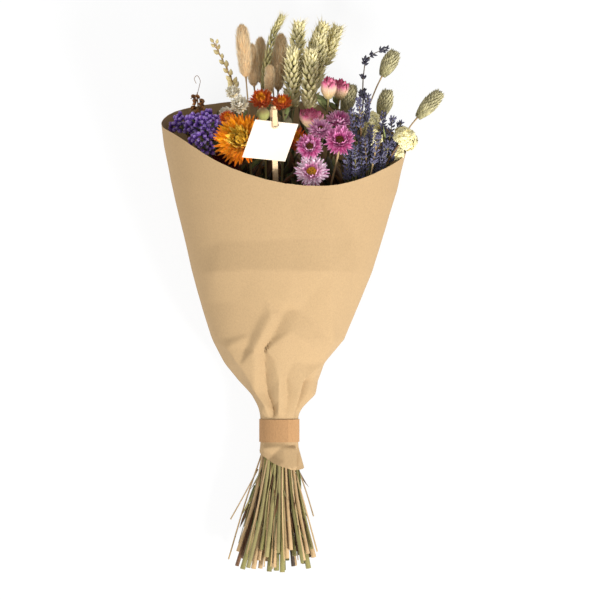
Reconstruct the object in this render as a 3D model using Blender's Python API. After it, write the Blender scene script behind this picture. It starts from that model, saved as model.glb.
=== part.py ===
"""A mixed bouquet of dried flowers in a kraft paper wrap, lying on its back.

The stems run through one tied neck. Above it they fan out inside a paper cone, and below it
they spread to their cut ends. A small card hangs from a mini peg on a wooden stick.

Frame: +Y runs from the cut stems to the flower heads, +Z is up, away from the surface that
the paper lies on, and the origin is on the flat back of the paper. Tables are in millimetres.
"""

import math

import bpy
from mathutils import Matrix, Vector

MM = 0.001
GAP = 0.3  # clearance between neighbouring pieces

# The tied neck
NECK_Y = -132.0
NECK_X = -3.0
NECK_Z = 30.0
STEM_R = 1.6  # stem radius where the bunch is tied
PITCH = 3.5  # spacing of the packed stems
SHAFT_R = 1.25  # stem radius above the neck
CUT_R = 2.1  # middling stem radius at the cut end
CUT_R_SPAN = 0.5
APPROACH = 22.0  # how far behind its head a stem lines up with it
NECK_FLATTEN = 1.35  # width over depth of the packed bunch
TIE_WALL = 1.0
TIE_Y = (-136.0, -130.0)
NECK_SPAN = (-149.0, -117.0)  # the paper is straight here
STEM_SIDES = 6

# Below the neck the bunch opens like a skirt
CUT_DROP = 143.0
SPREAD_X = 1.95
SPREAD_Z = 1.15
SPREAD_POWER = 1.8
CUT_WEAVE = 3.0  # how far the cut ends stray to either side

# The paper wrap and its band
PAPER = 0.8
WRAP_SIDES = 40
BAND_WALL = 0.8
BAND_Y = (-144.0, -121.0)

# Stations of the paper cone above the neck: Y, centre X, half width, lowest Z, highest Z.
# A lowest Z under 0 is cut off at the surface, which makes the flat back.
CONE = [
    (-108.0, -1.5, 23.0, 12.0, 50.0),
    (-96.0, 1.0, 31.5, 6.0, 57.0),
    (-82.0, -1.0, 40.0, 1.0, 64.0),
    (-64.0, -6.0, 49.5, -5.0, 74.0),
    (-40.0, -6.0, 62.0, -10.0, 86.0),
    (-11.0, -2.7, 75.7, -14.0, 98.0),
    (28.0, 1.0, 90.0, -17.0, 115.0),
    (85.0, 3.3, 105.8, -20.0, 138.0),
    (126.0, 3.7, 116.5, -20.0, 154.0),
    (170.0, 3.7, 122.5, -20.0, 168.0),
    (210.0, 3.7, 125.0, -20.0, 176.0),
]
# Y of the mouth's edge and of the lower edge at every 30 degrees, from +X round by +Z.
MOUTH_Y = [151, 133, 117, 117, 134, 163, 177, 193, 203, 205, 194, 172]
SKIRT_Y = [-170, -172, -172, -168, -163, -157, -153, -155, -158, -160, -163, -167]
SKIRT_FLARE = 5.5  # how much wider the lower edge is than the neck

# The card, its peg and its stick
CARD_SIDE = 45.0
CARD_WALL = 0.6
CARD_GRIP = 7.0  # how far the card reaches into the jaws
CARD_SHIFT = 2.5  # the peg grips the card this far from its middle
CARD_TWIST = -19.0  # degrees that the card hangs out of square
PEG_PIVOT = (-6.8, 176.5, 182.0)
PEG_JAW = 12.0
PEG_HANDLE = 11.0
PEG_WIDTH = 4.6
PEG_LEG = 2.6
COIL_R = 1.1
WIRE_R = 0.35
CARD_NORMAL = Vector((0.25, -0.62, 0.74)).normalized()
STICK_HEADING = Vector((-0.09, 0.90, 0.44))
STICK_WIDTH = 5.2
STICK_WALL = 2.0
STICK_BELOW_PIVOT = 171.6
STICK_ABOVE_PIVOT = 5.0

# Head outlines: share of the head's length, share of its greatest radius.
EAR = [(0, 0.35), (0.2, 0.9), (0.6, 1.0), (0.88, 0.62), (1, 0.2)]
TAIL = [(0, 0.4), (0.18, 0.85), (0.5, 1.0), (0.85, 0.75), (1, 0.25)]
EGG = [(0, 0.25), (0.25, 0.9), (0.5, 1.0), (0.8, 0.6), (1, 0.15)]
DISC = [(0, 0.25), (0.35, 0.7), (0.7, 1.0), (0.9, 0.95), (1, 0.6)]
BUD = [(0, 0.35), (0.3, 1.0), (0.6, 0.98), (0.85, 0.85), (1, 0.5)]
CLUMP = [(0, 0.25), (0.35, 0.9), (0.7, 1.0), (0.9, 0.85), (1, 0.45)]

# Colours: red, green, blue, roughness
COLOURS = {
    "wheat": (0.52, 0.48, 0.28, 0.85),
    "grass_ear": (0.45, 0.44, 0.24, 0.85),
    "bunny_tail": (0.62, 0.44, 0.25, 0.95),
    "canary_grass": (0.55, 0.50, 0.29, 0.9),
    "flax": (0.60, 0.47, 0.26, 0.85),
    "brown_spray": (0.36, 0.17, 0.07, 0.85),
    "white_everlasting": (0.85, 0.77, 0.60, 0.8),
    "orange_strawflower": (0.90, 0.33, 0.02, 0.6),
    "rust_strawflower": (0.62, 0.13, 0.01, 0.6),
    "red_strawflower": (0.25, 0.01, 0.01, 0.6),
    "green_pod": (0.42, 0.42, 0.18, 0.8),
    "statice": (0.16, 0.07, 0.42, 0.8),
    "rose": (0.60, 0.22, 0.20, 0.75),
    "yarrow": (0.85, 0.78, 0.42, 0.85),
    "lavender": (0.13, 0.11, 0.24, 0.9),
    "pink_everlasting": (0.72, 0.24, 0.48, 0.7),
    "kraft_paper": (0.66, 0.48, 0.27, 0.8),
    "brown_band": (0.50, 0.31, 0.14, 0.8),
    "twine": (0.45, 0.32, 0.17, 0.9),
    "card": (0.93, 0.83, 0.69, 0.8),
    "pale_wood": (0.80, 0.62, 0.38, 0.65),
    "spring_wire": (0.45, 0.42, 0.38, 0.35),
}

# Each flower: name, kind, outline, greatest radius of the head, then the head's line, base to tip.
FLOWERS = [
    ("wheat_1", "wheat", EAR, 8.5, (12, 214, 68), (17, 276, 80)),
    ("wheat_2", "wheat", EAR, 8.0, (19, 226, 48), (42, 276, 58)),
    ("wheat_3", "wheat", EAR, 8.5, (32, 212, 62), (38, 264, 74)),
    ("wheat_4", "wheat", EAR, 8.0, (10, 192, 82), (11, 249, 92)),
    ("wheat_5", "wheat", EAR, 7.0, (41, 238, 44), (55, 273, 50)),
    ("wheat_6", "wheat", EAR, 8.5, (27, 190, 86), (29, 247, 96)),
    ("grass_ear", "grass_ear", EAR, 4.2, (-19, 212, 70), (-14, 248, 76), (-8, 267, 78), (0, 283, 80)),
    ("bunny_tail_1", "bunny_tail", TAIL, 7.0, (-36, 223, 90), (-40, 273, 100)),
    ("bunny_tail_2", "bunny_tail", TAIL, 6.2, (-28, 215, 72), (-31, 256, 78)),
    ("bunny_tail_3", "bunny_tail", TAIL, 6.0, (-21, 219, 54), (-22, 264, 60)),
    ("bunny_tail_4", "bunny_tail", TAIL, 7.2, (-4, 212, 58), (-1, 267, 66)),
    ("bunny_tail_5", "bunny_tail", TAIL, 6.2, (-10, 221, 38), (-14, 254, 42)),
    ("bunny_tail_6", "bunny_tail", TAIL, 5.0, (-13, 205, 84), (-12, 234, 91)),
    ("canary_grass_1", "canary_grass", EGG, 8.0, (101, 226, 56), (113, 248, 62)),
    ("canary_grass_2", "canary_grass", EGG, 7.5, (99, 183, 66), (106, 208, 72)),
    ("canary_grass_3", "canary_grass", EGG, 7.5, (136, 183, 76), (157, 206, 84)),
    ("canary_grass_4", "canary_grass", EGG, 7.0, (62, 186, 70), (70, 213, 76)),
    ("flax_pods", "flax", TAIL, 5.0, (-48, 209, 64), (-51, 224, 68), (-60, 240, 72), (-67, 257, 76)),
    ("brown_spray", "brown_spray", EGG, 8.0, (-80, 182, 38), (-85, 194, 41), (-86, 210, 44)),
    ("white_everlasting_1", "white_everlasting", DISC, 8.0, (-41, 189, 100), (-43, 199, 107)),
    ("white_everlasting_2", "white_everlasting", DISC, 6.5, (-48, 203, 84), (-50, 212, 90)),
    ("white_everlasting_3", "white_everlasting", DISC, 6.0, (-55, 182, 86), (-57, 191, 92)),
    ("rust_strawflower_1", "rust_strawflower", DISC, 11.0, (-19, 193, 97), (-21, 203, 107)),
    ("rust_strawflower_2", "rust_strawflower", DISC, 9.5, (1, 189, 104), (0, 200, 112)),
    ("rust_strawflower_3", "rust_strawflower", DISC, 8.0, (-53, 175, 108), (-54, 183, 115)),
    ("green_pod_1", "green_pod", BUD, 6.5, (-18, 178, 112), (-19, 189, 119)),
    ("green_pod_2", "green_pod", BUD, 7.0, (3, 170, 84), (3, 183, 91)),
    ("statice_1", "statice", CLUMP, 10.0, (-98, 172, 60), (-106, 190, 68)),
    ("statice_2", "statice", CLUMP, 12.0, (-82, 170, 82), (-87, 188, 90)),
    ("statice_3", "statice", CLUMP, 9.5, (-71, 172, 98), (-74, 186, 106)),
    ("statice_4", "statice", CLUMP, 10.0, (-76, 152, 106), (-81, 165, 117)),
    ("rose_1", "rose", BUD, 6.8, (46, 200, 106), (47, 220, 112)),
    ("rose_2", "rose", BUD, 7.0, (57, 201, 92), (59, 218, 98)),
    ("rose_3", "rose", BUD, 9.5, (29, 172, 105), (30, 188, 113)),
    ("yarrow_1", "yarrow", CLUMP, 11.5, (86, 176, 84), (90, 190, 92)),
    ("yarrow_2", "yarrow", CLUMP, 10.5, (88, 160, 102), (92, 174, 112)),
    ("yarrow_3", "yarrow", CLUMP, 9.0, (112, 146, 84), (119, 160, 90)),
    ("yarrow_4", "yarrow", CLUMP, 12.0, (121, 159, 104), (134, 172, 111)),
    ("tall_lavender", "lavender", EAR, 3.6, (81, 202, 84), (81, 222, 87), (85, 242, 89), (103, 250, 88)),
    ("lavender_1", "lavender", EAR, 4.2, (78, 170, 116), (76, 198, 123)),
    ("lavender_2", "lavender", EAR, 4.2, (90, 134, 116), (95, 163, 129)),
    ("lavender_3", "lavender", EAR, 4.2, (105, 150, 100), (110, 180, 107)),
    ("lavender_4", "lavender", EAR, 4.2, (84, 128, 110), (82, 159, 125)),
    ("lavender_5", "lavender", EAR, 4.2, (73, 122, 119), (72, 150, 134)),
    ("pink_everlasting_1", "pink_everlasting", DISC, 17.0, (30, 124, 124), (29, 128, 137)),
    ("pink_everlasting_2", "pink_everlasting", DISC, 14.0, (56, 172, 102), (59, 184, 110)),
    ("pink_everlasting_3", "pink_everlasting", DISC, 12.5, (38, 164, 126), (39, 172, 134)),
    ("pink_everlasting_4", "pink_everlasting", DISC, 14.5, (57, 154, 136), (57, 159, 148)),
    ("pink_everlasting_5", "pink_everlasting", DISC, 12.5, (28, 149, 131), (27, 152, 141)),
    ("orange_strawflower", "orange_strawflower", DISC, 22.0, (-38, 156, 118), (-43, 160, 134)),
    ("rust_strawflower_4", "rust_strawflower", DISC, 14.0, (10, 152, 90), (15, 164, 100)),
    ("red_strawflower", "red_strawflower", DISC, 13.0, (-56, 130, 96), (-57, 138, 108)),
]


def clear_scene():
    for obj in list(bpy.data.objects):
        bpy.data.objects.remove(obj)


def material(name):
    found = bpy.data.materials.get(name)
    if found:
        return found
    red, green, blue, rough = COLOURS[name]
    made = bpy.data.materials.new(name)
    made.use_nodes = True
    shader = made.node_tree.nodes["Principled BSDF"]
    shader.inputs["Base Color"].default_value = (red, green, blue, 1.0)
    shader.inputs["Roughness"].default_value = rough
    shader.inputs["Metallic"].default_value = 1.0 if name == "spring_wire" else 0.0
    return made


def add_solid(name, points, faces, colour):
    """A new object from points in millimetres."""
    mesh = bpy.data.meshes.new(name)
    mesh.from_pydata([Vector(p) * MM for p in points], [], faces)
    mesh.materials.append(material(colour))
    obj = bpy.data.objects.new(name, mesh)
    bpy.context.scene.collection.objects.link(obj)
    return obj


def curve_through(points, share):
    """A point at a share of the way along a smooth curve through the given points."""
    spans = len(points) - 1
    place = min(share * spans, spans - 1e-9)
    index = int(place)
    t = place - index
    p1, p2 = points[index], points[index + 1]
    p0 = points[index - 1] if index else p1 * 2 - p2
    p3 = points[index + 2] if index + 2 <= spans else p2 * 2 - p1
    return 0.5 * (
        p1 * 2
        + (p2 - p0) * t
        + (p0 * 2 - p1 * 5 + p2 * 4 - p3) * t**2
        + (p1 * 3 - p0 - p2 * 3 + p3) * t**3
    )


def bezier(a, b, c, d, t):
    s = 1 - t
    return a * s**3 + b * (3 * s * s * t) + c * (3 * s * t * t) + d * t**3


def rings_along(points, radii, sides):
    """Round sections square to a line, each turned as little as possible from the last."""
    side = Vector((1, 0, 0))
    rings = []
    for i, (centre, radius) in enumerate(zip(points, radii)):
        before = points[max(i - 1, 0)]
        after = points[min(i + 1, len(points) - 1)]
        heading = (after - before).normalized()
        side = (side - heading * side.dot(heading)).normalized()
        up = heading.cross(side)
        turns = [2 * math.pi * k / sides for k in range(sides)]
        rings.append([centre + (side * math.cos(t) + up * math.sin(t)) * radius for t in turns])
    return rings


def skin(rings):
    """The faces that join closed rings in order, with both ends capped."""
    sides = len(rings[0])
    faces = [list(reversed(range(sides)))]
    for i in range(len(rings) - 1):
        low, high = i * sides, (i + 1) * sides
        for k in range(sides):
            n = (k + 1) % sides
            faces.append([low + k, low + n, high + n, high + k])
    last = (len(rings) - 1) * sides
    faces.append([last + k for k in range(sides)])
    return faces


def add_swept(name, points, radii, colour, sides=STEM_SIDES):
    rings = rings_along(points, radii, sides)
    return add_solid(name, [p for ring in rings for p in ring], skin(rings), colour)


# ---- how the stems pack in the neck ----


def neck_columns(count):
    """The middles of the packed stems as columns, left to right, each from back to front."""
    step = PITCH * math.sqrt(3) / 2
    reach = 12
    seats = []
    for i in range(-reach, reach + 1):
        for j in range(-reach, reach + 1):
            across, up = i * step, (j + 0.5 * (i % 2)) * PITCH
            seats.append((math.hypot(across / NECK_FLATTEN, up), i, across, up))
    chosen = sorted(seats)[:count]
    columns = {}
    for _, i, across, up in chosen:
        columns.setdefault(i, []).append((across, up))
    return [sorted(columns[i], key=lambda seat: seat[1]) for i in sorted(columns)]


def assign_seats(flowers):
    """Each flower's place in the neck, in the order that its head lies in, so no stems cross."""

    def aim(flower):
        base, following = Vector(flower[4]), Vector(flower[5])
        behind = base - (following - base).normalized() * APPROACH
        run = behind.y - NECK_Y
        return (behind.x - NECK_X) / run, (behind.z - NECK_Z) / run

    waiting = sorted(flowers, key=lambda flower: aim(flower)[0])
    seats = {}
    for column in neck_columns(len(flowers)):
        group = sorted(waiting[: len(column)], key=lambda flower: aim(flower)[1])
        waiting = waiting[len(column) :]
        for flower, seat in zip(group, column):
            seats[flower[0]] = seat
    return seats


def bunch_reach(seats):
    """Half width and half depth of the packed bunch, over the stems' outsides."""
    widest = max(math.hypot(x / NECK_FLATTEN, z) for x, z in seats.values())
    edge = STEM_R + GAP
    return widest * NECK_FLATTEN + edge, widest + edge


def below_neck(seat, drop, stray):
    """A stem's middle at a drop below the neck, where the bunch opens."""
    opening = (drop / CUT_DROP) ** SPREAD_POWER
    x = NECK_X + seat[0] * (1 + SPREAD_X * opening) + (stray * CUT_WEAVE - 3) * opening
    z = NECK_Z + seat[1] * (1 + SPREAD_Z * opening)
    return Vector((x, NECK_Y - drop, z))


def add_flower(flower, seat, index):
    """One stem, cut end to head, as a single body."""
    name, colour, outline, radius = flower[:4]
    line = [Vector(p) for p in flower[4:]]
    cut = CUT_DROP - 22 * ((index * 7) % 11) / 10
    stray = math.sin(2.4 * index)
    points = [below_neck(seat, cut, stray), below_neck(seat, 0.55 * cut, stray)]
    radii = [CUT_R + CUT_R_SPAN * math.cos(1.7 * index), STEM_R + 0.1]
    for y in (NECK_SPAN[0] + 4, NECK_SPAN[1]):
        points.append(Vector((NECK_X + seat[0], y, NECK_Z + seat[1])))
        radii.append(STEM_R)

    heading = (line[1] - line[0]).normalized()
    collar = line[0] - heading * 4
    start = points[-1]
    run = (collar - start).length
    leave = Vector((seat[0] * 0.012, 1, seat[1] * 0.012)).normalized()
    arrive = min(0.3 * run, 34)
    for t in (0.25, 0.5, 0.72, 0.9):
        points.append(bezier(start, start + leave * run * 0.3, collar - heading * arrive, collar, t))
        radii.append(SHAFT_R)
    points.append(collar)
    radii.append(SHAFT_R)

    for share, width in outline:
        points.append(curve_through(line, share))
        radii.append(radius * width)
    return add_swept(name, points, radii, colour)


# ---- paper ----


def around(table, turn):
    """A value from a table for every 30 degrees, smoothed round the full turn."""
    count = len(table)
    place = (turn / (2 * math.pi) * count) % count
    index = int(place)
    t = place - index
    p0, p1, p2, p3 = (table[(index + k) % count] for k in (-1, 0, 1, 2))
    return 0.5 * (
        2 * p1 + (p2 - p0) * t + (2 * p0 - 5 * p1 + 4 * p2 - p3) * t**2 + (3 * p1 - p0 - 3 * p2 + p3) * t**3
    )


def section_at(y, neck):
    """Centre X, half width, lowest Z and highest Z of the paper's outside at Y."""
    half_width, half_depth = neck
    neck_row = (NECK_X, half_width, NECK_Z - half_depth, NECK_Z + half_depth)
    flare = SKIRT_FLARE
    skirt = (NECK_X + 1.5, half_width + flare, NECK_Z - half_depth - flare, NECK_Z + half_depth + flare)
    rows = [(-175.0, *skirt), (NECK_SPAN[0], *neck_row), (NECK_SPAN[1], *neck_row), *CONE]
    for low, high in zip(rows, rows[1:]):
        if y <= high[0]:
            t = max(0.0, (y - low[0]) / (high[0] - low[0]))
            return [a + (b - a) * t for a, b in zip(low[1:], high[1:])]
    return list(rows[-1][1:])


def paper_ring(y_of_turn, neck, inset):
    ring = []
    for k in range(WRAP_SIDES):
        turn = 2 * math.pi * k / WRAP_SIDES
        y = y_of_turn(turn)
        x, half_width, low, high = section_at(y, neck)
        middle, half_depth = (low + high) / 2, (high - low) / 2
        z = middle + (half_depth - inset) * math.sin(turn)
        ring.append(Vector((x + (half_width - inset) * math.cos(turn), y, max(z, inset))))
    return ring


def add_wrapper(neck):
    """The paper cone: an outer and an inner skin, joined at the mouth and at the lower edge."""
    top = 70.0
    heights = [lambda turn: around(SKIRT_Y, turn)]
    fixed = [NECK_SPAN[0], NECK_SPAN[1]] + [row[0] for row in CONE if row[0] < top - 20] + [top]
    heights += [lambda turn, y=y: y for y in fixed]
    heights += [lambda turn, s=s: top + (around(MOUTH_Y, turn) - top) * s for s in (0.5, 1.0)]
    outer = [paper_ring(height, neck, 0) for height in heights]
    inner = [paper_ring(height, neck, PAPER) for height in heights]
    rings = outer + inner[::-1]
    points = [p for ring in rings for p in ring]
    faces = []
    for i in range(len(rings)):
        low, high = i * WRAP_SIDES, ((i + 1) % len(rings)) * WRAP_SIDES
        for k in range(WRAP_SIDES):
            n = (k + 1) % WRAP_SIDES
            faces.append([low + n, low + k, high + k, high + n])
    add_solid("paper_wrapper", points, faces, "kraft_paper")


def add_hoop(name, half_width, half_depth, wall, span, colour):
    """An oval ring of constant wall round the neck."""
    rings = []
    for grow, y in ((0, span[0]), (wall, span[0]), (wall, span[1]), (0, span[1])):
        turns = [2 * math.pi * k / WRAP_SIDES for k in range(WRAP_SIDES)]
        a, b = half_width + grow, half_depth + grow
        rings.append([Vector((NECK_X + a * math.cos(t), y, NECK_Z + b * math.sin(t))) for t in turns])
    faces = []
    for i in range(4):
        low, high = i * WRAP_SIDES, ((i + 1) % 4) * WRAP_SIDES
        for k in range(WRAP_SIDES):
            n = (k + 1) % WRAP_SIDES
            faces.append([low + n, low + k, high + k, high + n])
    add_solid(name, [p for ring in rings for p in ring], faces, colour)


# ---- card, peg and stick ----


def peg_axes():
    """Across the peg, along it towards the handles, and out of the card, as unit directions."""
    out = CARD_NORMAL
    along = (STICK_HEADING - out * STICK_HEADING.dot(out)).normalized()
    return along.cross(out), along, out


def placed(across, along, out):
    e_across, e_along, e_out = peg_axes()
    return Vector(PEG_PIVOT) + e_across * across + e_along * along + e_out * out


def add_prism(name, outline, half_width, colour):
    """An outline of (along, out) pairs, anticlockwise, extruded across the peg."""
    count = len(outline)
    points = [placed(side * half_width, a, n) for side in (-1, 1) for a, n in outline]
    faces = [list(reversed(range(count))), [count + k for k in range(count)]]
    for k in range(count):
        n = (k + 1) % count
        faces.append([k, n, count + n, count + k])
    add_solid(name, points, faces, colour)


def add_peg_leg(name, side):
    """side is 1 for the leg in front of the card and -1 for the one behind it."""
    face = CARD_WALL / 2 + GAP
    back = face + PEG_LEG
    groove = COIL_R + GAP
    outline = [
        (-PEG_JAW, face + 0.5),
        (-PEG_JAW + 1.2, face),
        (-groove - 0.5, face),
        (-groove * 0.7, groove),
        (groove * 0.7, groove),
        (groove + 0.5, face + 0.2),
        (PEG_HANDLE, back - 1.0),
        (PEG_HANDLE, back),
        (-PEG_JAW + 1.5, back),
        (-PEG_JAW, back - 0.9),
    ]
    outline = [(a, n * side) for a, n in outline]
    if side < 0:
        outline.reverse()
    add_prism(name, outline, PEG_WIDTH / 2, "pale_wood")


def add_peg_spring():
    """The coil across the pivot, with an arm down each side and over each leg's outer face."""
    beside = PEG_WIDTH / 2 + GAP + WIRE_R
    over = CARD_WALL / 2 + GAP + PEG_LEG + GAP + WIRE_R
    grip = -PEG_JAW + 3.2
    arm = [(-beside + 0.5, grip, over), (beside - 0.4, grip, over), (beside, grip + 0.4, over - 0.4)]
    arm += [(beside, grip + 2.0, over - 2.2), (beside, -0.6, 0.6), (beside - 0.3, 0, 0)]
    other = [(-x, along, -out) for x, along, out in reversed(arm)]
    coil = [(PEG_WIDTH / 2 - 0.3, 0, 0), (PEG_WIDTH / 2 - 0.8, 0, 0)]
    coil += [(-x, a, n) for x, a, n in reversed(coil)]
    radii = [WIRE_R] * (len(arm) + 1) + [COIL_R] * 2 + [WIRE_R] * (len(other) + 1)
    points = [placed(*p) for p in arm + coil + other]
    add_swept("peg_spring", points, radii, "spring_wire", sides=8)


def add_card():
    """A square card that hangs in the jaws, a little out of square with them."""
    turn = Matrix.Rotation(math.radians(CARD_TWIST), 3, "X")
    half, top = CARD_SIDE / 2, -PEG_JAW + CARD_GRIP
    left, right = CARD_SHIFT - half, CARD_SHIFT + half
    corners = [(left, top), (right, top), (right, top - CARD_SIDE), (left, top - CARD_SIDE)]
    points = []
    for out in (-CARD_WALL / 2, CARD_WALL / 2):
        for across, along in corners:
            swung = turn @ Vector((0, across, along - top))
            points.append(placed(swung.y, swung.z + top, out))
    faces = [[0, 1, 2, 3], [7, 6, 5, 4]]
    faces += [[k, 4 + k, 4 + (k + 1) % 4, (k + 1) % 4] for k in range(4)]
    add_solid("card", points, faces, "card")


def add_stick():
    back = -(CARD_WALL / 2 + GAP + PEG_LEG + 2 * GAP + 2 * WIRE_R + STICK_WALL)
    outline = [
        (-STICK_BELOW_PIVOT, back + 0.7),
        (-STICK_BELOW_PIVOT + 8, back),
        (STICK_ABOVE_PIVOT, back),
        (STICK_ABOVE_PIVOT, back + STICK_WALL),
        (-STICK_BELOW_PIVOT + 8, back + STICK_WALL),
        (-STICK_BELOW_PIVOT, back + STICK_WALL - 0.7),
    ]
    add_prism("card_stick", outline, STICK_WIDTH / 2, "pale_wood")


def main():
    clear_scene()
    seats = assign_seats(FLOWERS)
    for index, flower in enumerate(FLOWERS):
        add_flower(flower, seats[flower[0]], index)

    tie = bunch_reach(seats)
    add_hoop("stem_tie", *tie, TIE_WALL, TIE_Y, "twine")
    neck = [reach + TIE_WALL + GAP + PAPER for reach in tie]
    add_wrapper(neck)
    add_hoop("paper_band", *[reach + GAP for reach in neck], BAND_WALL, BAND_Y, "brown_band")

    add_stick()
    add_peg_leg("peg_front_leg", 1)
    add_peg_leg("peg_back_leg", -1)
    add_peg_spring()
    add_card()


main()
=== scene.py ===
"""The looks of a mixed bouquet of dried flowers in kraft paper, built round its CAD frame."""

import math
import random

import bpy
import numpy as np
from mathutils import Matrix, Vector, geometry, noise
from mathutils.bvhtree import BVHTree


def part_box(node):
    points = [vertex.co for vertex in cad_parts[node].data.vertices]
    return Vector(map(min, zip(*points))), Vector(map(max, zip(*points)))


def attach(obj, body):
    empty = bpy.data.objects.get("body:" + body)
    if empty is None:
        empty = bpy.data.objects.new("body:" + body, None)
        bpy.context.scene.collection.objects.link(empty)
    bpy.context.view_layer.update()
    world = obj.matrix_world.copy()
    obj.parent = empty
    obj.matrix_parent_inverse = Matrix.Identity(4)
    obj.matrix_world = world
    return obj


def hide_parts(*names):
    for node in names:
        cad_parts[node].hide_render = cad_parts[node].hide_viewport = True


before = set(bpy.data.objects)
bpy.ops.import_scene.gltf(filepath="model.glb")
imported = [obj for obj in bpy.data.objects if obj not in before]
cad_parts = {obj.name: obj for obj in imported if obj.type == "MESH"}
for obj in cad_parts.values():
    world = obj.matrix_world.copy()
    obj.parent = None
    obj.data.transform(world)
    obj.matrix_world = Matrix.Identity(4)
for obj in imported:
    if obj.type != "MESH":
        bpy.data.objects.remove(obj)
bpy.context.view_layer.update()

bl_info = {
    "name": "Dried flower bouquet",
    "version": (1, 0, 0),
    "blender": (4, 5, 0),
    "location": "3D View > Sidebar > Bouquet",
    "description": "Builds a bouquet of dried flowers in a kraft paper wrap",
    "category": "Add Mesh",
}

MM = 0.001
GOLDEN_TURN = math.pi * (3 - math.sqrt(5))
HEAD_RINGS = 5  # the last rings of a flower's CAD solid outline its head
RING_CORNERS = 6  # the cut end of a flower's CAD solid
UP = Vector((0, 0, 1))
NECK_TOP = -117 * MM  # the paper is drawn in tight below this
FLOOR_GAP = 0.1 * MM  # nothing of a flower goes lower than this


# ---------------------------------------------------------------- settings


def colour_property(name, description, default):
    return bpy.props.FloatVectorProperty(
        name=name,
        description=description,
        default=srgb(default),
        size=3,
        min=0,
        max=1,
        subtype="COLOR",
    )


def srgb(code):
    """Linear red, green and blue of an sRGB hex colour."""
    parts = [int(code[i : i + 2], 16) / 255 for i in (1, 3, 5)]
    return tuple(c / 12.92 if c <= 0.04045 else ((c + 0.055) / 1.055) ** 2.4 for c in parts)


class PaperSettings(bpy.types.PropertyGroup):
    thickness: bpy.props.FloatProperty(
        name="Thickness",
        description="Thickness of the kraft paper",
        default=0.35 * MM,
        unit="LENGTH",
    )
    crumple: bpy.props.FloatProperty(
        name="Crumple",
        description="Depth of the small dents in the paper",
        default=0.5 * MM,
        unit="LENGTH",
    )
    kraft: colour_property("Kraft", "Colour of the paper's outside", "#A88C66")
    band: colour_property("Band", "Colour of the paper band", "#A07A52")


class FlowerSettings(bpy.types.PropertyGroup):
    petal_thickness: bpy.props.FloatProperty(
        name="Petal thickness",
        description="Thickness of a dried petal",
        default=0.18 * MM,
        unit="LENGTH",
    )
    hairs: bpy.props.IntProperty(
        name="Hairs", description="Hairs on each bunny tail", default=2600, min=0
    )
    seed: bpy.props.IntProperty(name="Seed", description="Start of the random draws", default=11)


class StageSettings(bpy.types.PropertyGroup):
    camera_height: bpy.props.FloatProperty(
        name="Camera height",
        description="Height of the camera over the surface",
        default=3.08,
        unit="LENGTH",
    )
    picture_width: bpy.props.FloatProperty(
        name="Picture width",
        description="Width that the camera takes in",
        default=0.6,
        unit="LENGTH",
    )


def settings():
    """The paper's, the flowers' and the stage's settings."""
    scene = bpy.context.scene
    return scene.bouquet_paper, scene.bouquet_flowers, scene.bouquet_stage


# ---------------------------------------------------------------- materials


def add_node(tree, kind, inputs=None, **options):
    """A shader node with its options set, and its inputs set or linked."""
    made = tree.nodes.new(kind)
    for option, value in options.items():
        setattr(made, option, value)
    for name, value in (inputs or {}).items():
        if isinstance(value, bpy.types.NodeSocket):
            tree.links.new(value, made.inputs[name])
        else:
            made.inputs[name].default_value = value
    return made


def add_place(tree):
    """The place on the object itself, in metres."""
    return add_node(tree, "ShaderNodeTexCoord").outputs["Object"]


def add_maths(tree, operation, *values):
    """The result of a maths node on numbers or sockets."""
    return add_node(tree, "ShaderNodeMath", dict(enumerate(values)), operation=operation).outputs[0]


def add_noise(tree, place, scale, detail=2.0, roughness=0.5):
    """Noise from 0 to 1. At a scale of 1000 its dents are about a millimetre across."""
    inputs = {"Vector": place, "Scale": scale, "Detail": detail, "Roughness": roughness}
    return add_node(tree, "ShaderNodeTexNoise", inputs).outputs["Fac"]


def add_ramp(tree, value, stops):
    """The colour at a value, from stops of a place and a linear colour or a hex one."""
    made = add_node(tree, "ShaderNodeValToRGB", {"Fac": value})
    elements = made.color_ramp.elements
    while len(elements) < len(stops):
        elements.new(0.5)
    for element, (place, colour) in zip(elements, stops):
        element.position = place
        element.color = (*(srgb(colour) if isinstance(colour, str) else colour), 1)
    return made.outputs["Color"]


def add_range(tree, value, low, high):
    """A value from 0 to 1 spread between low and high."""
    inputs = {"Value": value, "To Min": low, "To Max": high}
    return add_node(tree, "ShaderNodeMapRange", inputs).outputs[0]


def add_scaled(tree, vector, factor):
    """A colour or a vector times a factor."""
    inputs = {0: vector, "Scale": factor}
    return add_node(tree, "ShaderNodeVectorMath", inputs, operation="SCALE").outputs[0]


def stretched(tree, place, scale):
    """Places stretched by a scale for each axis, so that noise on them has a grain."""
    return add_node(tree, "ShaderNodeMapping", {"Vector": place, "Scale": scale}).outputs["Vector"]


def start_material(name, roughness, sheen=0.0):
    made = bpy.data.materials.new(name)
    made.use_nodes = True
    tree = made.node_tree
    shader = tree.nodes["Principled BSDF"]
    shader.inputs["Roughness"].default_value = roughness
    shader.inputs["Sheen Weight"].default_value = sheen
    shader.inputs["Specular IOR Level"].default_value = 0.3
    return made, tree, shader


def join_shader(tree, shader, base, height=None, strength=0.0, depth=0.0):
    """Joins a colour to the shader, and a bump where a height is given."""
    tree.links.new(base, shader.inputs["Base Color"])
    if height is not None:
        inputs = {"Strength": strength, "Distance": depth, "Height": height}
        bump = add_node(tree, "ShaderNodeBump", inputs)
        tree.links.new(bump.outputs["Normal"], shader.inputs["Normal"])


def darker(colour, share):
    return tuple(c * share for c in colour)


FIBRE_DARK, FIBRE_PALE = 0.10, 0.08  # how far the fibres leave the paper's colour
LAP_PALER = 0.13


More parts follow.
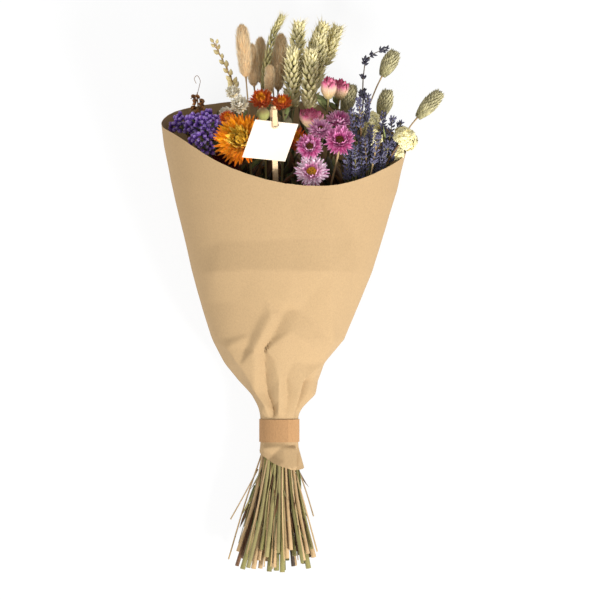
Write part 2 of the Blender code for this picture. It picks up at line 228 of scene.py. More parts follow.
def kraft_material(name, colour, fibre=1.0, lap=None):
    """Kraft paper, machine glazed: short pale and dark fibres in an even pulp, almost no shine.

    lap is the X of a glued lap, past which a second layer lies that is a little paler.
    """
    made, tree, shader = start_material(name, 0.8)
    place = add_place(tree)
    fleck = add_noise(tree, place, 800.0, 3.0, 0.7)
    strand = add_noise(tree, stretched(tree, place, (900.0, 350.0, 900.0)), 1.0)
    pulp = add_maths(tree, "MULTIPLY", add_maths(tree, "ADD", strand, fleck), 0.5)
    dark = darker(colour, 1 - FIBRE_DARK * fibre)
    pale = tuple(min(1, c * (1 + FIBRE_PALE * fibre)) for c in colour)
    base = add_ramp(tree, pulp, [(0.33, dark), (0.5, colour), (0.67, pale)])
    if lap is not None:
        across = add_node(tree, "ShaderNodeSeparateXYZ", {"Vector": place}).outputs["X"]
        past = add_maths(tree, "GREATER_THAN", across, lap)
        base = add_scaled(tree, base, add_maths(tree, "MULTIPLY_ADD", past, LAP_PALER, 1.0))
    join_shader(tree, shader, base, pulp, 0.2, 0.3 * MM)
    return made


BLOTCH_SCALE = 700.0  # blotches of about 1.4 mm
BLOTCH_SHIFT = 0.3  # how far a blotch moves the colour along the petal
TONE_LOW, TONE_HIGH = 0.72, 1.21  # the darkest and the palest piece of a plant
VEINS = 0.15


def petal_material(name, stops, roughness=0.55):
    """A dried plant skin: its colour runs from base to tip, varies from piece to piece, and has
    fine veins."""
    made, tree, shader = start_material(name, roughness, sheen=0.15)
    along = add_node(tree, "ShaderNodeAttribute", attribute_name="along").outputs["Fac"]
    tone = add_node(tree, "ShaderNodeAttribute", attribute_name="tone").outputs["Fac"]
    blotch = add_noise(tree, add_place(tree), BLOTCH_SCALE, 3.0)
    moved = add_maths(tree, "MULTIPLY_ADD", blotch, BLOTCH_SHIFT, along)
    colour = add_ramp(tree, add_maths(tree, "SUBTRACT", moved, BLOTCH_SHIFT / 2), stops)
    level = add_range(tree, tone, TONE_LOW, TONE_HIGH)
    fine = add_range(tree, blotch, 1 - VEINS, 1 + VEINS)
    colour = add_scaled(tree, colour, add_maths(tree, "MULTIPLY", level, fine))
    join_shader(tree, shader, colour, blotch, VEINS, 0.3 * MM)
    return made


def wood_material(name, colour):
    """Raw birch: straight fine grain along the stick, no varnish."""
    made, tree, shader = start_material(name, 0.6)
    drawn = stretched(tree, add_place(tree), (1500.0, 45.0, 1100.0))
    grain = add_noise(tree, drawn, 1.0, 3.0)
    base = srgb(colour)
    join_shader(tree, shader, add_ramp(tree, grain, [(0.35, darker(base, 0.72)), (0.6, base)]))
    return made


def card_material(name, colour):
    """Uncoated cotton card: a warm white with a barely seen tooth."""
    made, tree, shader = start_material(name, 0.85)
    tooth = add_noise(tree, add_place(tree), 1200.0, 3.0)
    base = srgb(colour)
    colour = add_ramp(tree, tooth, [(0.35, darker(base, 0.95)), (0.65, base)])
    join_shader(tree, shader, colour, tooth, 0.15, 0.2 * MM)
    return made


def wire_material(name, colour):
    """Drawn spring steel, slightly dull."""
    made, tree, shader = start_material(name, 0.35)
    shader.inputs["Metallic"].default_value = 1.0
    dull = add_noise(tree, add_place(tree), 400.0)
    base = srgb(colour)
    join_shader(tree, shader, add_ramp(tree, dull, [(0.3, darker(base, 0.7)), (0.7, base)]))
    return made


# Dried skins: colour stops from the base of a petal, husk or leaf to its tip
SKINS = {
    # stalks: dull green, straw, olive and brown side by side, so that the cut ends look mixed
    "stem_green": [(0.0, "#77703F"), (0.6, "#877E4C"), (1.0, "#7C7040")],
    "stem_straw": [(0.0, "#B2946A"), (0.5, "#BC9E74"), (1.0, "#A68A5C")],
    "stem_olive": [(0.0, "#80764A"), (0.5, "#8E8454"), (1.0, "#665C3A")],
    "stem_brown": [(0.0, "#6B4A30"), (0.5, "#8A6440"), (1.0, "#A07C50")],
    "stem_dark": [(0.0, "#3B2E22"), (0.5, "#4C3B2A"), (1.0, "#5A4A35")],
    # leaves: dark and matt; the darkest are partly painted shade, dark sheets set between the heads
    # and inside the paper's mouth where there is only shadow
    "leaf_dark_painted_shade": [(0.0, "#33361C"), (0.6, "#4A4A28"), (1.0, "#5E5632")],
    "leaf_brown": [(0.0, "#4A3220"), (0.6, "#6A4A2C"), (1.0, "#86643C")],
    "leaf_green": [(0.0, "#5C6536"), (0.6, "#76804A"), (1.0, "#8E915C")],
    # grasses: green-grey at the base of each husk and bleached straw at its tip
    "wheat_husk": [(0.0, "#9C945A"), (0.4, "#C6BC82"), (1.0, "#E8DCB0")],
    "wheat_awn": [(0.0, "#DACB90"), (1.0, "#F4E6BA")],
    "grass_husk": [(0.0, "#9A9258"), (0.6, "#BEB47A"), (1.0, "#D8CC9C")],
    # hare's tail: pale sandy hairs that glow over a warm core
    "bunny_hair": [(0.0, "#DDB47C"), (0.45, "#F0CF9A"), (1.0, "#FFEECB")],
    "bunny_core": [(0.0, "#E4BE88"), (1.0, "#F2D2A0")],
    "canary_husk": [(0.0, "#7E784E"), (0.5, "#9E966C"), (1.0, "#C2B890")],
    # flax pods and the withered spray: dry tan and rust brown
    "flax_pod": [(0.0, "#B9A36A"), (0.6, "#D2BF88"), (1.0, "#E6D8A8")],
    "brown_leaf": [(0.0, "#6E4423"), (0.6, "#94602F"), (1.0, "#B47C42")],
    # everlasting bracts: papery and a little glossy, cream, orange, rust and dark red
    "white_bract": [(0.0, "#FFEBC0"), (0.5, "#FFF4D8"), (1.0, "#FFFBEC")],
    "straw_orange": [(0.0, "#FFD440"), (0.5, "#FFC022"), (0.85, "#FFAC18"), (1.0, "#F88E12")],
    "straw_outer": [(0.0, "#FFC42C"), (0.5, "#FFB01C"), (1.0, "#F88814")],
    "straw_yellow": [(0.0, "#FFC82C"), (0.6, "#FFE058"), (1.0, "#FFCC3C")],
    "straw_rust": [(0.0, "#FFA42C"), (0.5, "#F27C1E"), (1.0, "#CE5210")],
    "straw_red": [(0.0, "#A81418"), (0.5, "#8A0C14"), (1.0, "#5A080E")],
    # discs of the composite flowers: grainy gold or burnt brown
    "floret_gold": [(0.0, "#E09412"), (0.6, "#FFC41E"), (1.0, "#FFE04C")],
    "floret_dark": [(0.0, "#4A2A12"), (0.6, "#7A4A1A"), (1.0, "#A8742A")],
    # seed pods: dull green that turns brown at the crown
    "pod_green": [(0.0, "#8E9150"), (0.6, "#A8A860"), (1.0, "#8A6A48")],
    "pod_grey": [(0.0, "#7E7C56"), (0.6, "#9C9A74"), (1.0, "#6E5C48")],
    # statice: violet papery cups, paler at the rim
    "statice_calyx": [(0.0, "#4A3078"), (0.45, "#7248AC"), (0.75, "#9468CC"), (1.0, "#CCB2EC")],
    # roses: green-brown below, cream in the middle, with a pink dried edge
    "rose_petal": [
        (0.0, "#9C8C54"), (0.25, "#C8AC78"), (0.6, "#EAC0A4"), (0.84, "#E07E9A"), (1.0, "#B84068"),
    ],
    "rose_green": [(0.0, "#6E7440"), (1.0, "#8E8A50")],
    # yarrow: matt pale yellow
    "yarrow_floret": [(0.0, "#D8C870"), (0.5, "#F0E29C"), (1.0, "#FBF2C4")],
    # lavender: grey-violet buds, nearly black on the tall spike
    "lavender_bud": [(0.0, "#77767A"), (0.5, "#625E78"), (1.0, "#4C486A")],
    "lavender_dark": [(0.0, "#4A4A58"), (0.6, "#33323F"), (1.0, "#40364A")],
    # pink everlastings: satin pinks that fade to silver at the tip
    "daisy_pale": [(0.0, "#E29CCC"), (0.4, "#F8CAE2"), (1.0, "#FFF0F8")],
    "daisy_pink": [(0.0, "#CC5AA4"), (0.5, "#E690C4"), (1.0, "#F8C6E0")],
    "daisy_magenta": [(0.0, "#B83888"), (0.5, "#D860A4"), (1.0, "#EC9CC8")],
}
materials = {}


def skin(name):
    if name not in materials:
        gloss = 0.42 if name.startswith(("straw", "daisy", "white")) else 0.7
        materials[name] = petal_material(name, SKINS[name], roughness=gloss)
    return materials[name]


# ---------------------------------------------------------------- shapes


class Shape:
    """Triangles with two values at each point: along, from base to tip, and tone, its own shade."""

    def __init__(self, points, triangles, along):
        self.points, self.triangles, self.along = points, triangles, along


def shape_from_object(obj):
    """Reads a modelled object into a Shape and removes it. The value along follows its Z."""
    mesh = obj.data
    mesh.calc_loop_triangles()
    points = np.empty(len(mesh.vertices) * 3)
    mesh.vertices.foreach_get("co", points)
    triangles = np.empty(len(mesh.loop_triangles) * 3, np.int32)
    mesh.loop_triangles.foreach_get("vertices", triangles)
    points, triangles = points.reshape(-1, 3), triangles.reshape(-1, 3)
    spread = points[:, 2]
    along = (spread - spread.min()) / max(spread.max() - spread.min(), 1e-9)
    bpy.data.objects.remove(obj)
    bpy.data.meshes.remove(mesh)
    return Shape(points, triangles, along)


def add_primitive(operator, **options):
    """Adds one of Blender's primitives and returns it with its rotation and scale applied."""
    if bpy.context.object and bpy.context.object.mode != "OBJECT":
        bpy.ops.object.mode_set(mode="OBJECT")
    bpy.ops.object.select_all(action="DESELECT")
    operator(**options)
    bpy.ops.object.transform_apply(location=True, rotation=True, scale=True)
    return bpy.context.object


def petal_shape(length, width, cup=0.2, curl=0.0, tip=1.0, rows=7, columns=4):
    """A petal from its base at the origin along +Z, its face towards -Y.

    cup raises the long edges, curl bends the tip towards -Y, and tip sharpens the end.
    """
    grid = bpy.ops.mesh.primitive_grid_add
    obj = add_primitive(grid, x_subdivisions=columns, y_subdivisions=rows, size=1)
    straight = abs(curl) < 1e-3
    for vertex in obj.data.vertices:
        across, share = vertex.co.x * 2, vertex.co.y + 0.5
        outline = math.sin(math.pi * min(1, 0.12 + 0.80 * share**0.9)) ** 0.75
        if share > 0.55:
            outline *= 1 - ((share - 0.55) / 0.45) ** 2 * 0.92 * tip
        half = width / 2 * max(outline, 0.04)
        bend = curl * share
        reach = length * share if straight else length * math.sin(bend) / curl
        lift = 0 if straight else length * (1 - math.cos(bend)) / curl
        hollow = cup * half * across**2
        vertex.co.x = across * half
        vertex.co.y = -lift - hollow * math.cos(bend)
        vertex.co.z = reach - hollow * math.sin(bend)
    modifier = obj.modifiers.new("Wall", "SOLIDIFY")
    modifier.thickness = settings()[1].petal_thickness
    modifier.offset = 0
    bpy.ops.object.modifier_apply(modifier=modifier.name)
    return shape_from_object(obj)


def husk_shape(length, width, depth, sides=8, rings=6, point=1.4):
    """A closed almond from the origin along +Z, fullest below its middle and drawn to a point."""
    ball = bpy.ops.mesh.primitive_uv_sphere_add
    obj = add_primitive(ball, segments=sides, ring_count=rings, radius=1)
    for vertex in obj.data.vertices:
        share = (vertex.co.z + 1) / 2
        taper = (1 - share) ** (0.35 * point) * 1.15
        vertex.co.x = vertex.co.x * width / 2 * taper
        vertex.co.y = vertex.co.y * depth / 2 * taper
        vertex.co.z = share * length
    return shape_from_object(obj)


def spike_shape(length, radius, sides=4):
    """A thin closed spike from the origin along +Z, for a hair, an awn or a thorn."""
    obj = add_primitive(
        bpy.ops.mesh.primitive_cone_add,
        vertices=sides,
        radius1=radius,
        radius2=radius * 0.12,
        depth=length,
        location=(0, 0, length / 2),
        end_fill_type="TRIFAN",
    )
    return shape_from_object(obj)


class Assembly:
    """Collects copies of shapes for one flower and turns them into one piece."""

    def __init__(self, name):
        self.name, self.parts, self.skins, self.count = name, [], [], 0

    def add(self, shape, skin_name, matrix=None, tone=0.5, along=None):
        """A copy of a shape. tone and along replace its own values if given."""
        points = shape.points
        if matrix is not None:
            points = points @ np.array(matrix.to_3x3()).T + np.array(matrix.translation)
        if skin_name not in self.skins:
            self.skins.append(skin_name)
        values = shape.along if along is None else np.full(len(points), float(along))
        tones = np.full(len(points), float(tone))
        slots = np.full(len(shape.triangles), self.skins.index(skin_name), np.int32)
        self.parts.append((points, shape.triangles + self.count, values, tones, slots))
        self.count += len(points)

    def finish(self, node, slot_name):
        """Makes the piece from all that was added, in place of a CAD node."""
        points, triangles, along, tone, slots = (np.concatenate(part) for part in zip(*self.parts))
        points[:, 2] = np.maximum(points[:, 2], FLOOR_GAP)
        count = len(triangles)
        mesh = bpy.data.meshes.new(self.name)
        mesh.vertices.add(len(points))
        mesh.vertices.foreach_set("co", points.astype(np.float32).ravel())
        mesh.loops.add(count * 3)
        mesh.loops.foreach_set("vertex_index", triangles.astype(np.int32).ravel())
        mesh.polygons.add(count)
        mesh.polygons.foreach_set("loop_start", np.arange(count, dtype=np.int32) * 3)
        mesh.polygons.foreach_set("loop_total", np.full(count, 3, np.int32))
        mesh.polygons.foreach_set("material_index", slots)
        mesh.polygons.foreach_set("use_smooth", np.ones(count, bool))
        mesh.update(calc_edges=True)
        for label, values in (("along", along), ("tone", tone)):
            attribute = mesh.attributes.new(label, "FLOAT", "POINT")
            attribute.data.foreach_set("value", values.astype(np.float32))
        mesh.validate()
        for name in self.skins:
            mesh.materials.append(skin(name))
        obj = bpy.data.objects.new(self.name, mesh)
        bpy.context.scene.collection.objects.link(obj)
        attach(obj, "root")
        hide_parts(node)


def pose_matrix(place, heading, roll=0.0, scale=1.0, facing=None):
    """Stands a shape's +Z along a heading at a place, turned about it by roll.

    With facing, the shape's -Y side turns towards that direction instead.
    """
    heading = Vector(heading).normalized()
    if facing is None:
        turn = heading.to_track_quat("Z", "Y").to_matrix()
    else:
        front = Vector(facing)
        front = (front - heading * front.dot(heading)).normalized()
        turn = Matrix((front.cross(heading) * -1, -front, heading)).transposed()
        if turn.determinant() < 0:
            turn = Matrix((front.cross(heading), -front, heading)).transposed()
    turn = turn @ Matrix.Rotation(roll, 3, "Z")
    matrix = (turn * scale).to_4x4()
    matrix.translation = place
    return matrix


def swung(first, second, angle):
    """The direction at an angle from the first towards the second."""
    return first * math.cos(angle) + second * math.sin(angle)


def sideways(heading):
    """Two directions square to a heading and to each other."""
    side = heading.cross(UP if abs(heading.z) < 0.9 else Vector((1, 0, 0))).normalized()
    return side, side.cross(heading)


def tube_shape(points, radii, sides=8):
    """A closed tube along points, its value along running from 0 to 1."""
    rings, side = [], Vector((1, 0, 0))
    for i, (centre, radius) in enumerate(zip(points, radii)):
        before, after = points[max(i - 1, 0)], points[min(i + 1, len(points) - 1)]
        heading = (after - before).normalized()
        side = (side - heading * side.dot(heading)).normalized()
        up = heading.cross(side)
        for k in range(sides):
            turn = 2 * math.pi * k / sides
            rings.append(centre + swung(side, up, turn) * radius)
    count = len(points)
    triangles = []
    for i in range(count - 1):
        for k in range(sides):
            n = (k + 1) % sides
            a, b, c, d = i * sides + k, i * sides + n, (i + 1) * sides + n, (i + 1) * sides + k
            triangles += [(a, b, c), (a, c, d)]
    last = (count - 1) * sides
    for k in range(1, sides - 1):
        triangles += [(0, k + 1, k), (last, last + k, last + k + 1)]
    along = np.repeat(np.linspace(0, 1, count), sides)
    return Shape(np.array([tuple(p) for p in rings]), np.array(triangles, np.int32), along)


def smooth_line(points, steps):
    """Points along a smooth curve through the given ones."""
    made = []
    for i in range(len(points) - 1):
        p1, p2 = points[i], points[i + 1]
        p0 = points[i - 1] if i else p1 * 2 - p2
        p3 = points[i + 2] if i + 2 < len(points) else p2 * 2 - p1
        for k in range(steps):
            t = k / steps
            square = (p0 * 2 - p1 * 5 + p2 * 4 - p3) * t * t
            cube = (p1 * 3 - p0 - p2 * 3 + p3) * t**3
            made.append(0.5 * (p1 * 2 + (p2 - p0) * t + square + cube))
    made.append(points[-1].copy())
    return made


def solid_rings(node):
    """The centres and radii of the rings of a flower's CAD solid, from its cut end."""
    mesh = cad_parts[node].data
    keys, where, index = {}, [], []
    for vertex in mesh.vertices:
        key = tuple(round(c, 6) for c in vertex.co)
        if key not in keys:
            keys[key] = len(where)
            where.append(vertex.co.copy())
        index.append(keys[key])
    joined = [set() for _ in where]
    for face in mesh.polygons:
        corners = [index[v] for v in face.vertices]
        for corner in corners:
            joined[corner].update(corners)
    order = sorted(range(len(where)), key=lambda i: where[i].y)
    layer, seen, rings = set(order[:RING_CORNERS]), set(order[:RING_CORNERS]), []
    while layer:
        centre = sum((where[i] for i in layer), Vector()) / len(layer)
        rings.append((centre, sum((where[i] - centre).length for i in layer) / len(layer)))
        layer = set().union(*(joined[i] for i in layer)) - seen
        seen |= layer
    return rings


MIXED_STEMS = ("stem_green", "stem_straw", "stem_olive", "stem_brown", "stem_straw")
STEM_STEPS = 5  # rings of a stem between two of its CAD rings
KNOT, KNOT_EVERY = 0.1, 9  # a stem swells by this share at every so many rings


class Plant:
    """One flower: its stem, its head's line and size, its random draws and what it is made of."""

    def __init__(self, node):
        rings = solid_rings(node)
        self.node = node
        self.stem = rings[:-HEAD_RINGS] + [rings[-HEAD_RINGS]]
        head = rings[-HEAD_RINGS:]
        self.line = smooth_line([centre for centre, _ in head], 6)
        self.base, self.tip = head[0][0], head[-1][0]
        self.axis = (self.tip - self.base).normalized()
        self.length = (self.tip - self.base).length
        self.radius = max(radius for _, radius in head)
        self.random = random.Random(f"{settings()[1].seed} {node}")
        self.parts = Assembly(node + "_bloom")
        self.add = self.parts.add

    def draw(self, low=0.0, high=1.0):
        """The plant's next random draw."""
        return self.random.uniform(low, high)

    def jitter(self, reach):
        """A random vector within a cube."""
        return Vector([self.draw(-reach, reach) for _ in range(3)])

    def at(self, share):
        """A point on the head's line and its direction there."""
        place = min(max(share, 0), 1) * (len(self.line) - 1)
        index = min(int(place), len(self.line) - 2)
        here, there = self.line[index], self.line[index + 1]
        return here.lerp(there, place - index), (there - here).normalized()

    def add_stem(self, skin_name, thickness=1.0, into_head=0.0):
        """The stem, with its CAD route: full size below the tie, and thinner above it."""
        if skin_name == "stem_green":
            skin_name = self.random.choice(MIXED_STEMS)
        points = smooth_line([centre for centre, _ in self.stem], STEM_STEPS)
        sizes = smooth_line([Vector((radius, 0, 0)) for _, radius in self.stem], STEM_STEPS)
        radii = []
        for i, size in enumerate(sizes):
            knot = KNOT if i % KNOT_EVERY == KNOT_EVERY // 2 else 0
            below = min(1.0, max(0.0, (NECK_TOP - points[i].y) / (30 * MM)))
            share = thickness + (1.05 - thickness) * below
            radii.append(size.x * share * (1 + knot + 0.06 * self.draw(-1, 1)))
        tail = min(radii[-2], self.radius * 0.5)
        radii[-1] = radii[-2] = tail
        if into_head:
            for step in range(1, 7):
                points.append(self.at(into_head * step / 6)[0])
                radii.append(tail * (1 - 0.1 * step))
        self.add(tube_shape(points, radii), skin_name, tone=self.draw())
        self.add_cut_end(points[0], points[1], radii[0])
        add_cut_scraps(self)
        # dark leaves low in the paper's mouth, from Y 25 to 135 mm: painted shade, dark sheets that
        # stand in for the shadow inside the cone
        add_leaves(self, ("leaf_dark_painted_shade", "leaf_brown"), 12, 34, 8, 25, 26, 16, 135)

    def add_cut_end(self, end, following, radius):
        """The pale pith that shows where the stem was cut."""
        heading = (end - following).normalized()
        ends = [end - heading * 0.6 * MM, end + heading * 0.12 * MM]
        self.add(tube_shape(ends, [radius * 0.82] * 2), "stem_straw", tone=0.8, along=1.0)

    def spiral(self, count, end):
        """Evenly turned places up the head: share, centre, heading and direction outwards."""
        for i in range(count):
            share = end * (i + 0.5) / count
            centre, heading = self.at(share)
            yield share, centre, heading, swung(*sideways(heading), i * GOLDEN_TURN)


def add_leaves(plant, skins, count, length, width, from_y, lean, below_head=6, to_y=1000):
    """Dry leaves along the upper stem, bent towards the middle of the bunch, clear of the paper.

    Lengths are in mm. They grow between two values of Y and keep a distance below the head.
    """
    route = smooth_line([centre for centre, _ in plant.stem], 8)
    route = [place for place in route if from_y * MM < place.y < to_y * MM]
    if len(route) < 3:
        return
    kinds = [
        petal_shape(length * MM, width * MM, cup=0.7, curl=curl, rows=6, columns=2)
        for curl in (0.9, -0.7, 1.8)
    ]
    for k in range(count):
        place = route[int((len(route) - 2) * (k + plant.draw()) / count)]
        turn = k * GOLDEN_TURN + plant.draw(-0.4, 0.4)
        if (plant.base - place).length < below_head * MM:
            continue
        inwards = Vector((3 * MM, place.y, 44 * MM + 0.16 * place.y)) - place
        out = (Vector((math.cos(turn), 0, math.sin(turn))) + inwards * 30).normalized()
        tilt = math.radians(lean + plant.draw(-14, 20))
        aim = swung(Vector((0, 1, 0.1)).normalized(), out, tilt)
        matrix = pose_matrix(place, aim, plant.draw(-0.6, 0.6), plant.draw(0.6, 1.15))
        plant.add(plant.random.choice(kinds), skins[k % len(skins)], matrix, plant.draw())


def add_stalk(plant, points, steps, width, skin_name, tone, sides=5):
    """A thin stalk through some points, width mm from its middle to its skin."""
    route = smooth_line(points, steps)
    plant.add(tube_shape(route, [width * MM] * len(route), sides), skin_name, tone=tone)


def add_ring(plant, shape, skin_name, count, place, aim, tilt, spin=0.0, size=1.0, tone=None):
    """Petals that stand round a place and tilt. A pair of sizes, and a missing tone, are drawn."""
    for k in range(count):
        scale = plant.draw(*size) if isinstance(size, tuple) else size
        matrix = pose_matrix(place, aim, k * math.tau / count + spin, scale)
        matrix = matrix @ Matrix.Rotation(tilt, 4, "X")
        plant.add(shape, skin_name, matrix, plant.draw() if tone is None else tone)


def add_cut_scraps(plant):
    """Thin side stalks and strips of leaf that are left on a stem below the tie."""
    low, high = plant.stem[0][0], plant.stem[2][0]
    outwards = Vector((low.x - high.x, 0, 0))
    for _ in range(plant.random.choice((0, 1, 1, 2))):
        foot = high.lerp(low, plant.draw(0.05, 0.3))
        end = low + outwards * plant.draw(-0.15, 0.35)
        end += Vector((plant.draw(-5, 5), plant.draw(0, 34), plant.draw(-2, 4))) * MM
        bow = foot.lerp(end, 0.5) + Vector((plant.draw(-2, 2), 0, 1)) * MM
        width = plant.draw(0.35, 0.9)
        skin_name = plant.random.choice(("stem_straw", "stem_straw", "stem_olive"))
        add_stalk(plant, [foot, bow, end], 5, width, skin_name, plant.draw())
    strip = petal_shape(30 * MM, 3.4 * MM, cup=0.9, curl=0.5, rows=6, columns=2)
    for _ in range(2):
        place = high.lerp(low, plant.draw(0.1, 0.7))
        aim = (low - high).normalized() + plant.jitter(0.13)
        skin_name = plant.random.choice(("leaf_green", "stem_olive", "leaf_brown"))
        matrix = pose_matrix(place, aim, plant.draw(0, 6), plant.draw(0.5, 1.1))
        plant.add(strip, skin_name, matrix, plant.draw())


# ---------------------------------------------------------------- heads


GREEN_LEAVES = ("leaf_green", "leaf_dark_painted_shade")


def head_outline(share, peak=0.45, end=0.15):
    """Share of the full radius at a share of the head's length."""
    if share < peak:
        return 0.45 + 0.55 * math.sin(math.pi / 2 * share / peak)
    return end + (1 - end) * math.cos(math.pi / 2 * (share - peak) / (1 - peak)) ** 0.8


def fill_spike(plant, husk, skin_name, count, lean, spread, peak=0.4, awn=None):
    """An ear: husks in a spiral that lie up along it, each with an awn at its tip if given."""
    for share, centre, heading, out in plant.spiral(count, 0.96):
        width = plant.radius * head_outline(share, peak)
        aim = swung(heading, out, lean).normalized()
        place = centre + out * width * spread - heading * 1.0 * MM
        size = (0.75 + 0.35 * head_outline(share, peak)) * plant.draw(0.9, 1.1)
        tone = plant.draw()
        plant.add(husk, skin_name, pose_matrix(place, aim, 0, size, facing=out), tone)
        if awn:
            tip = place + aim * husk.points[:, 2].max() * size * 0.92
            sway = aim + out * 0.12 + plant.jitter(0.08)
            plant.add(awn, "wheat_awn", pose_matrix(tip, sway, 0, plant.draw(0.7, 1.25)), tone)


def fill_wheat(plant):
    """Wheat: plump husks in leaning rows all round the ear, each with a short awn."""
    husk = husk_shape(10.5 * MM, 5.2 * MM, 4.0 * MM, point=1.2)
    awn = spike_shape(7 * MM, 0.26 * MM)
    levels, husks = 17, 7
    for level in range(levels):
        share = (level + 0.3) / levels
        centre, heading = plant.at(share * 0.92)
        side, up = sideways(heading)
        width = plant.radius * head_outline(share, 0.35, 0.35)
        for row in range(husks):
            turn = (row + 0.5 * (level % 2)) * math.tau / husks + plant.draw(-0.15, 0.15)
            out = swung(side, up, turn)
            lean = math.radians(42 + plant.draw(-9, 12)) * (1 - 0.35 * share)
            aim = swung(heading, out, lean).normalized()
            place = centre + out * width * 0.42
            size = (1.0 - 0.2 * share) * plant.draw(0.82, 1.1)
            tone = plant.draw()
            plant.add(husk, "wheat_husk", pose_matrix(place, aim, 0, size, facing=out), tone)
            tip = place + aim * 8.6 * MM * size
            sway = aim + out * plant.draw(-0.05, 0.4)
            plant.add(awn, "wheat_awn", pose_matrix(tip, sway, 0, plant.draw(0.5, 1.1)), tone)
    plant.add_stem("stem_green", 0.85, into_head=0.9)
    add_leaves(plant, GREEN_LEAVES, 5, 42, 4.5, 90, 12)


def fill_grass_ear(plant):
    """A slim wild grass: thin husks close along the ear, with short awns."""
    husk = husk_shape(7.0 * MM, 2.6 * MM, 2.0 * MM, 6, 5)
    awn = spike_shape(5 * MM, 0.14 * MM)
    fill_spike(plant, husk, "grass_husk", 110, math.radians(22), 0.4, 0.3, awn)
    plant.add_stem("stem_green", 0.6, into_head=0.95)


def tail_outline(share):
    """Share of a bunny tail's radius: a soft egg, narrow below and round above."""
    return math.sin(math.pi * (0.10 + 0.78 * min(1.0, share))) ** 0.6


def fill_bunny_tail(plant):
    """Hare's tail grass: a soft egg of fine pale hairs that sweep up and in towards its tip."""
    steps = 12
    centres = [plant.at(i / steps * 0.93)[0] for i in range(steps + 1)]
    radii = [plant.radius * 0.72 * tail_outline(i / steps) for i in range(steps + 1)]
    plant.add(tube_shape(centres, radii, 14), "bunny_core", tone=0.9)
    length = 6 * MM
    hair = spike_shape(length, 0.2 * MM, 3)
    for share, centre, heading, out in plant.spiral(settings()[1].hairs, 0.97):
        root = centre + out * plant.radius * 0.66 * tail_outline(share)
        reach = share + plant.draw(0.09, 0.17)
        above = plant.at(reach)[0]
        above += heading * max(0.0, reach - 1) * plant.length * plant.draw(0.1, 0.5)
        width = plant.radius * (tail_outline(reach) if reach < 1 else 0.36 - 1.2 * (reach - 1))
        tip = above + out * width * plant.draw(0.7, 1.25)
        matrix = pose_matrix(root, tip - root, 0, (tip - root).length / length)
        plant.add(hair, "bunny_hair", matrix, plant.draw(0.3, 1))
    plant.add_stem("stem_straw", 0.6, into_head=0.5)


def fill_canary_grass(plant):
    """Canary grass: an egg of flat scales, each green along its keel and pale at its edge."""
    scale = husk_shape(7.5 * MM, 4.2 * MM, 2.0 * MM, 8, 6, 1.7)
    fill_spike(plant, scale, "canary_husk", 150, math.radians(20), 0.72)
    plant.add_stem("stem_straw", 0.6, into_head=0.8)


def fill_flax(plant):
    """Flax: a thin zigzag spray with an urn-shaped pod in a star of sepals at each turn."""
    pod = husk_shape(7.4 * MM, 5.2 * MM, 5.2 * MM, 10, 8, 1.1)
    sepal = petal_shape(5.4 * MM, 2.4 * MM, cup=0.5, curl=0.5, rows=4, columns=2)
    plant.add_stem("stem_straw", 0.5, into_head=1.0)
    pods = 15
    for i in range(pods):
        share = (i + 0.3) / pods
        centre, heading = plant.at(share)
        side = heading.cross(UP).normalized() * (1 if i % 2 else -1)
        out = (side + UP * plant.draw(-0.2, 0.9)).normalized()
        aim = (heading + out * plant.draw(0.35, 0.75)).normalized()
        end = centre + aim * plant.draw(1.5, 3.5) * MM
        twig = [centre - heading * 2 * MM, centre + out * 0.5 * MM, end]
        add_stalk(plant, twig, 3, 0.5, "stem_straw", 0.5)
        size = plant.draw(0.8, 1.1) * (1.1 - 0.3 * share)
        plant.add(pod, "flax_pod", pose_matrix(end, aim, 0, size), plant.draw())
        add_ring(plant, sepal, "flax_pod", 5, end, aim, -0.45, size=size)


# The thin dead tendril above the brown leaves, in mm
TENDRIL = [
    (-86, 208, 44), (-84, 216, 45), (-83, 222, 45), (-86, 227, 45), (-89, 224, 44), (-87, 219, 44),
]


def fill_brown_spray(plant):
    """A spray of curled brown leaves with a thin tendril."""
    plant.add_stem("stem_brown", 0.6, into_head=1.0)
    leaf = petal_shape(9 * MM, 7 * MM, cup=0.9, curl=2.2, tip=0.4, rows=10, columns=4)
    small = petal_shape(7 * MM, 5 * MM, cup=0.9, curl=-2.4, tip=0.4, rows=8, columns=4)
    for share, centre, heading, out in plant.spiral(34, 0.8):
        flat = Vector((out.x * 1.6, out.y, out.z)).normalized()
        place = centre + flat * plant.radius * plant.draw(0.2, 1.0) * (1.1 - share)
        kind = leaf if plant.draw() < 0.55 else small
        aim = heading * 0.5 + flat
        matrix = pose_matrix(place, aim, plant.draw(-2, 2), plant.draw(0.5, 1.0))
        plant.add(kind, "brown_leaf", matrix, plant.draw())
    add_stalk(plant, [Vector(place) * MM for place in TENDRIL], 5, 0.3, "stem_brown", 0.6)


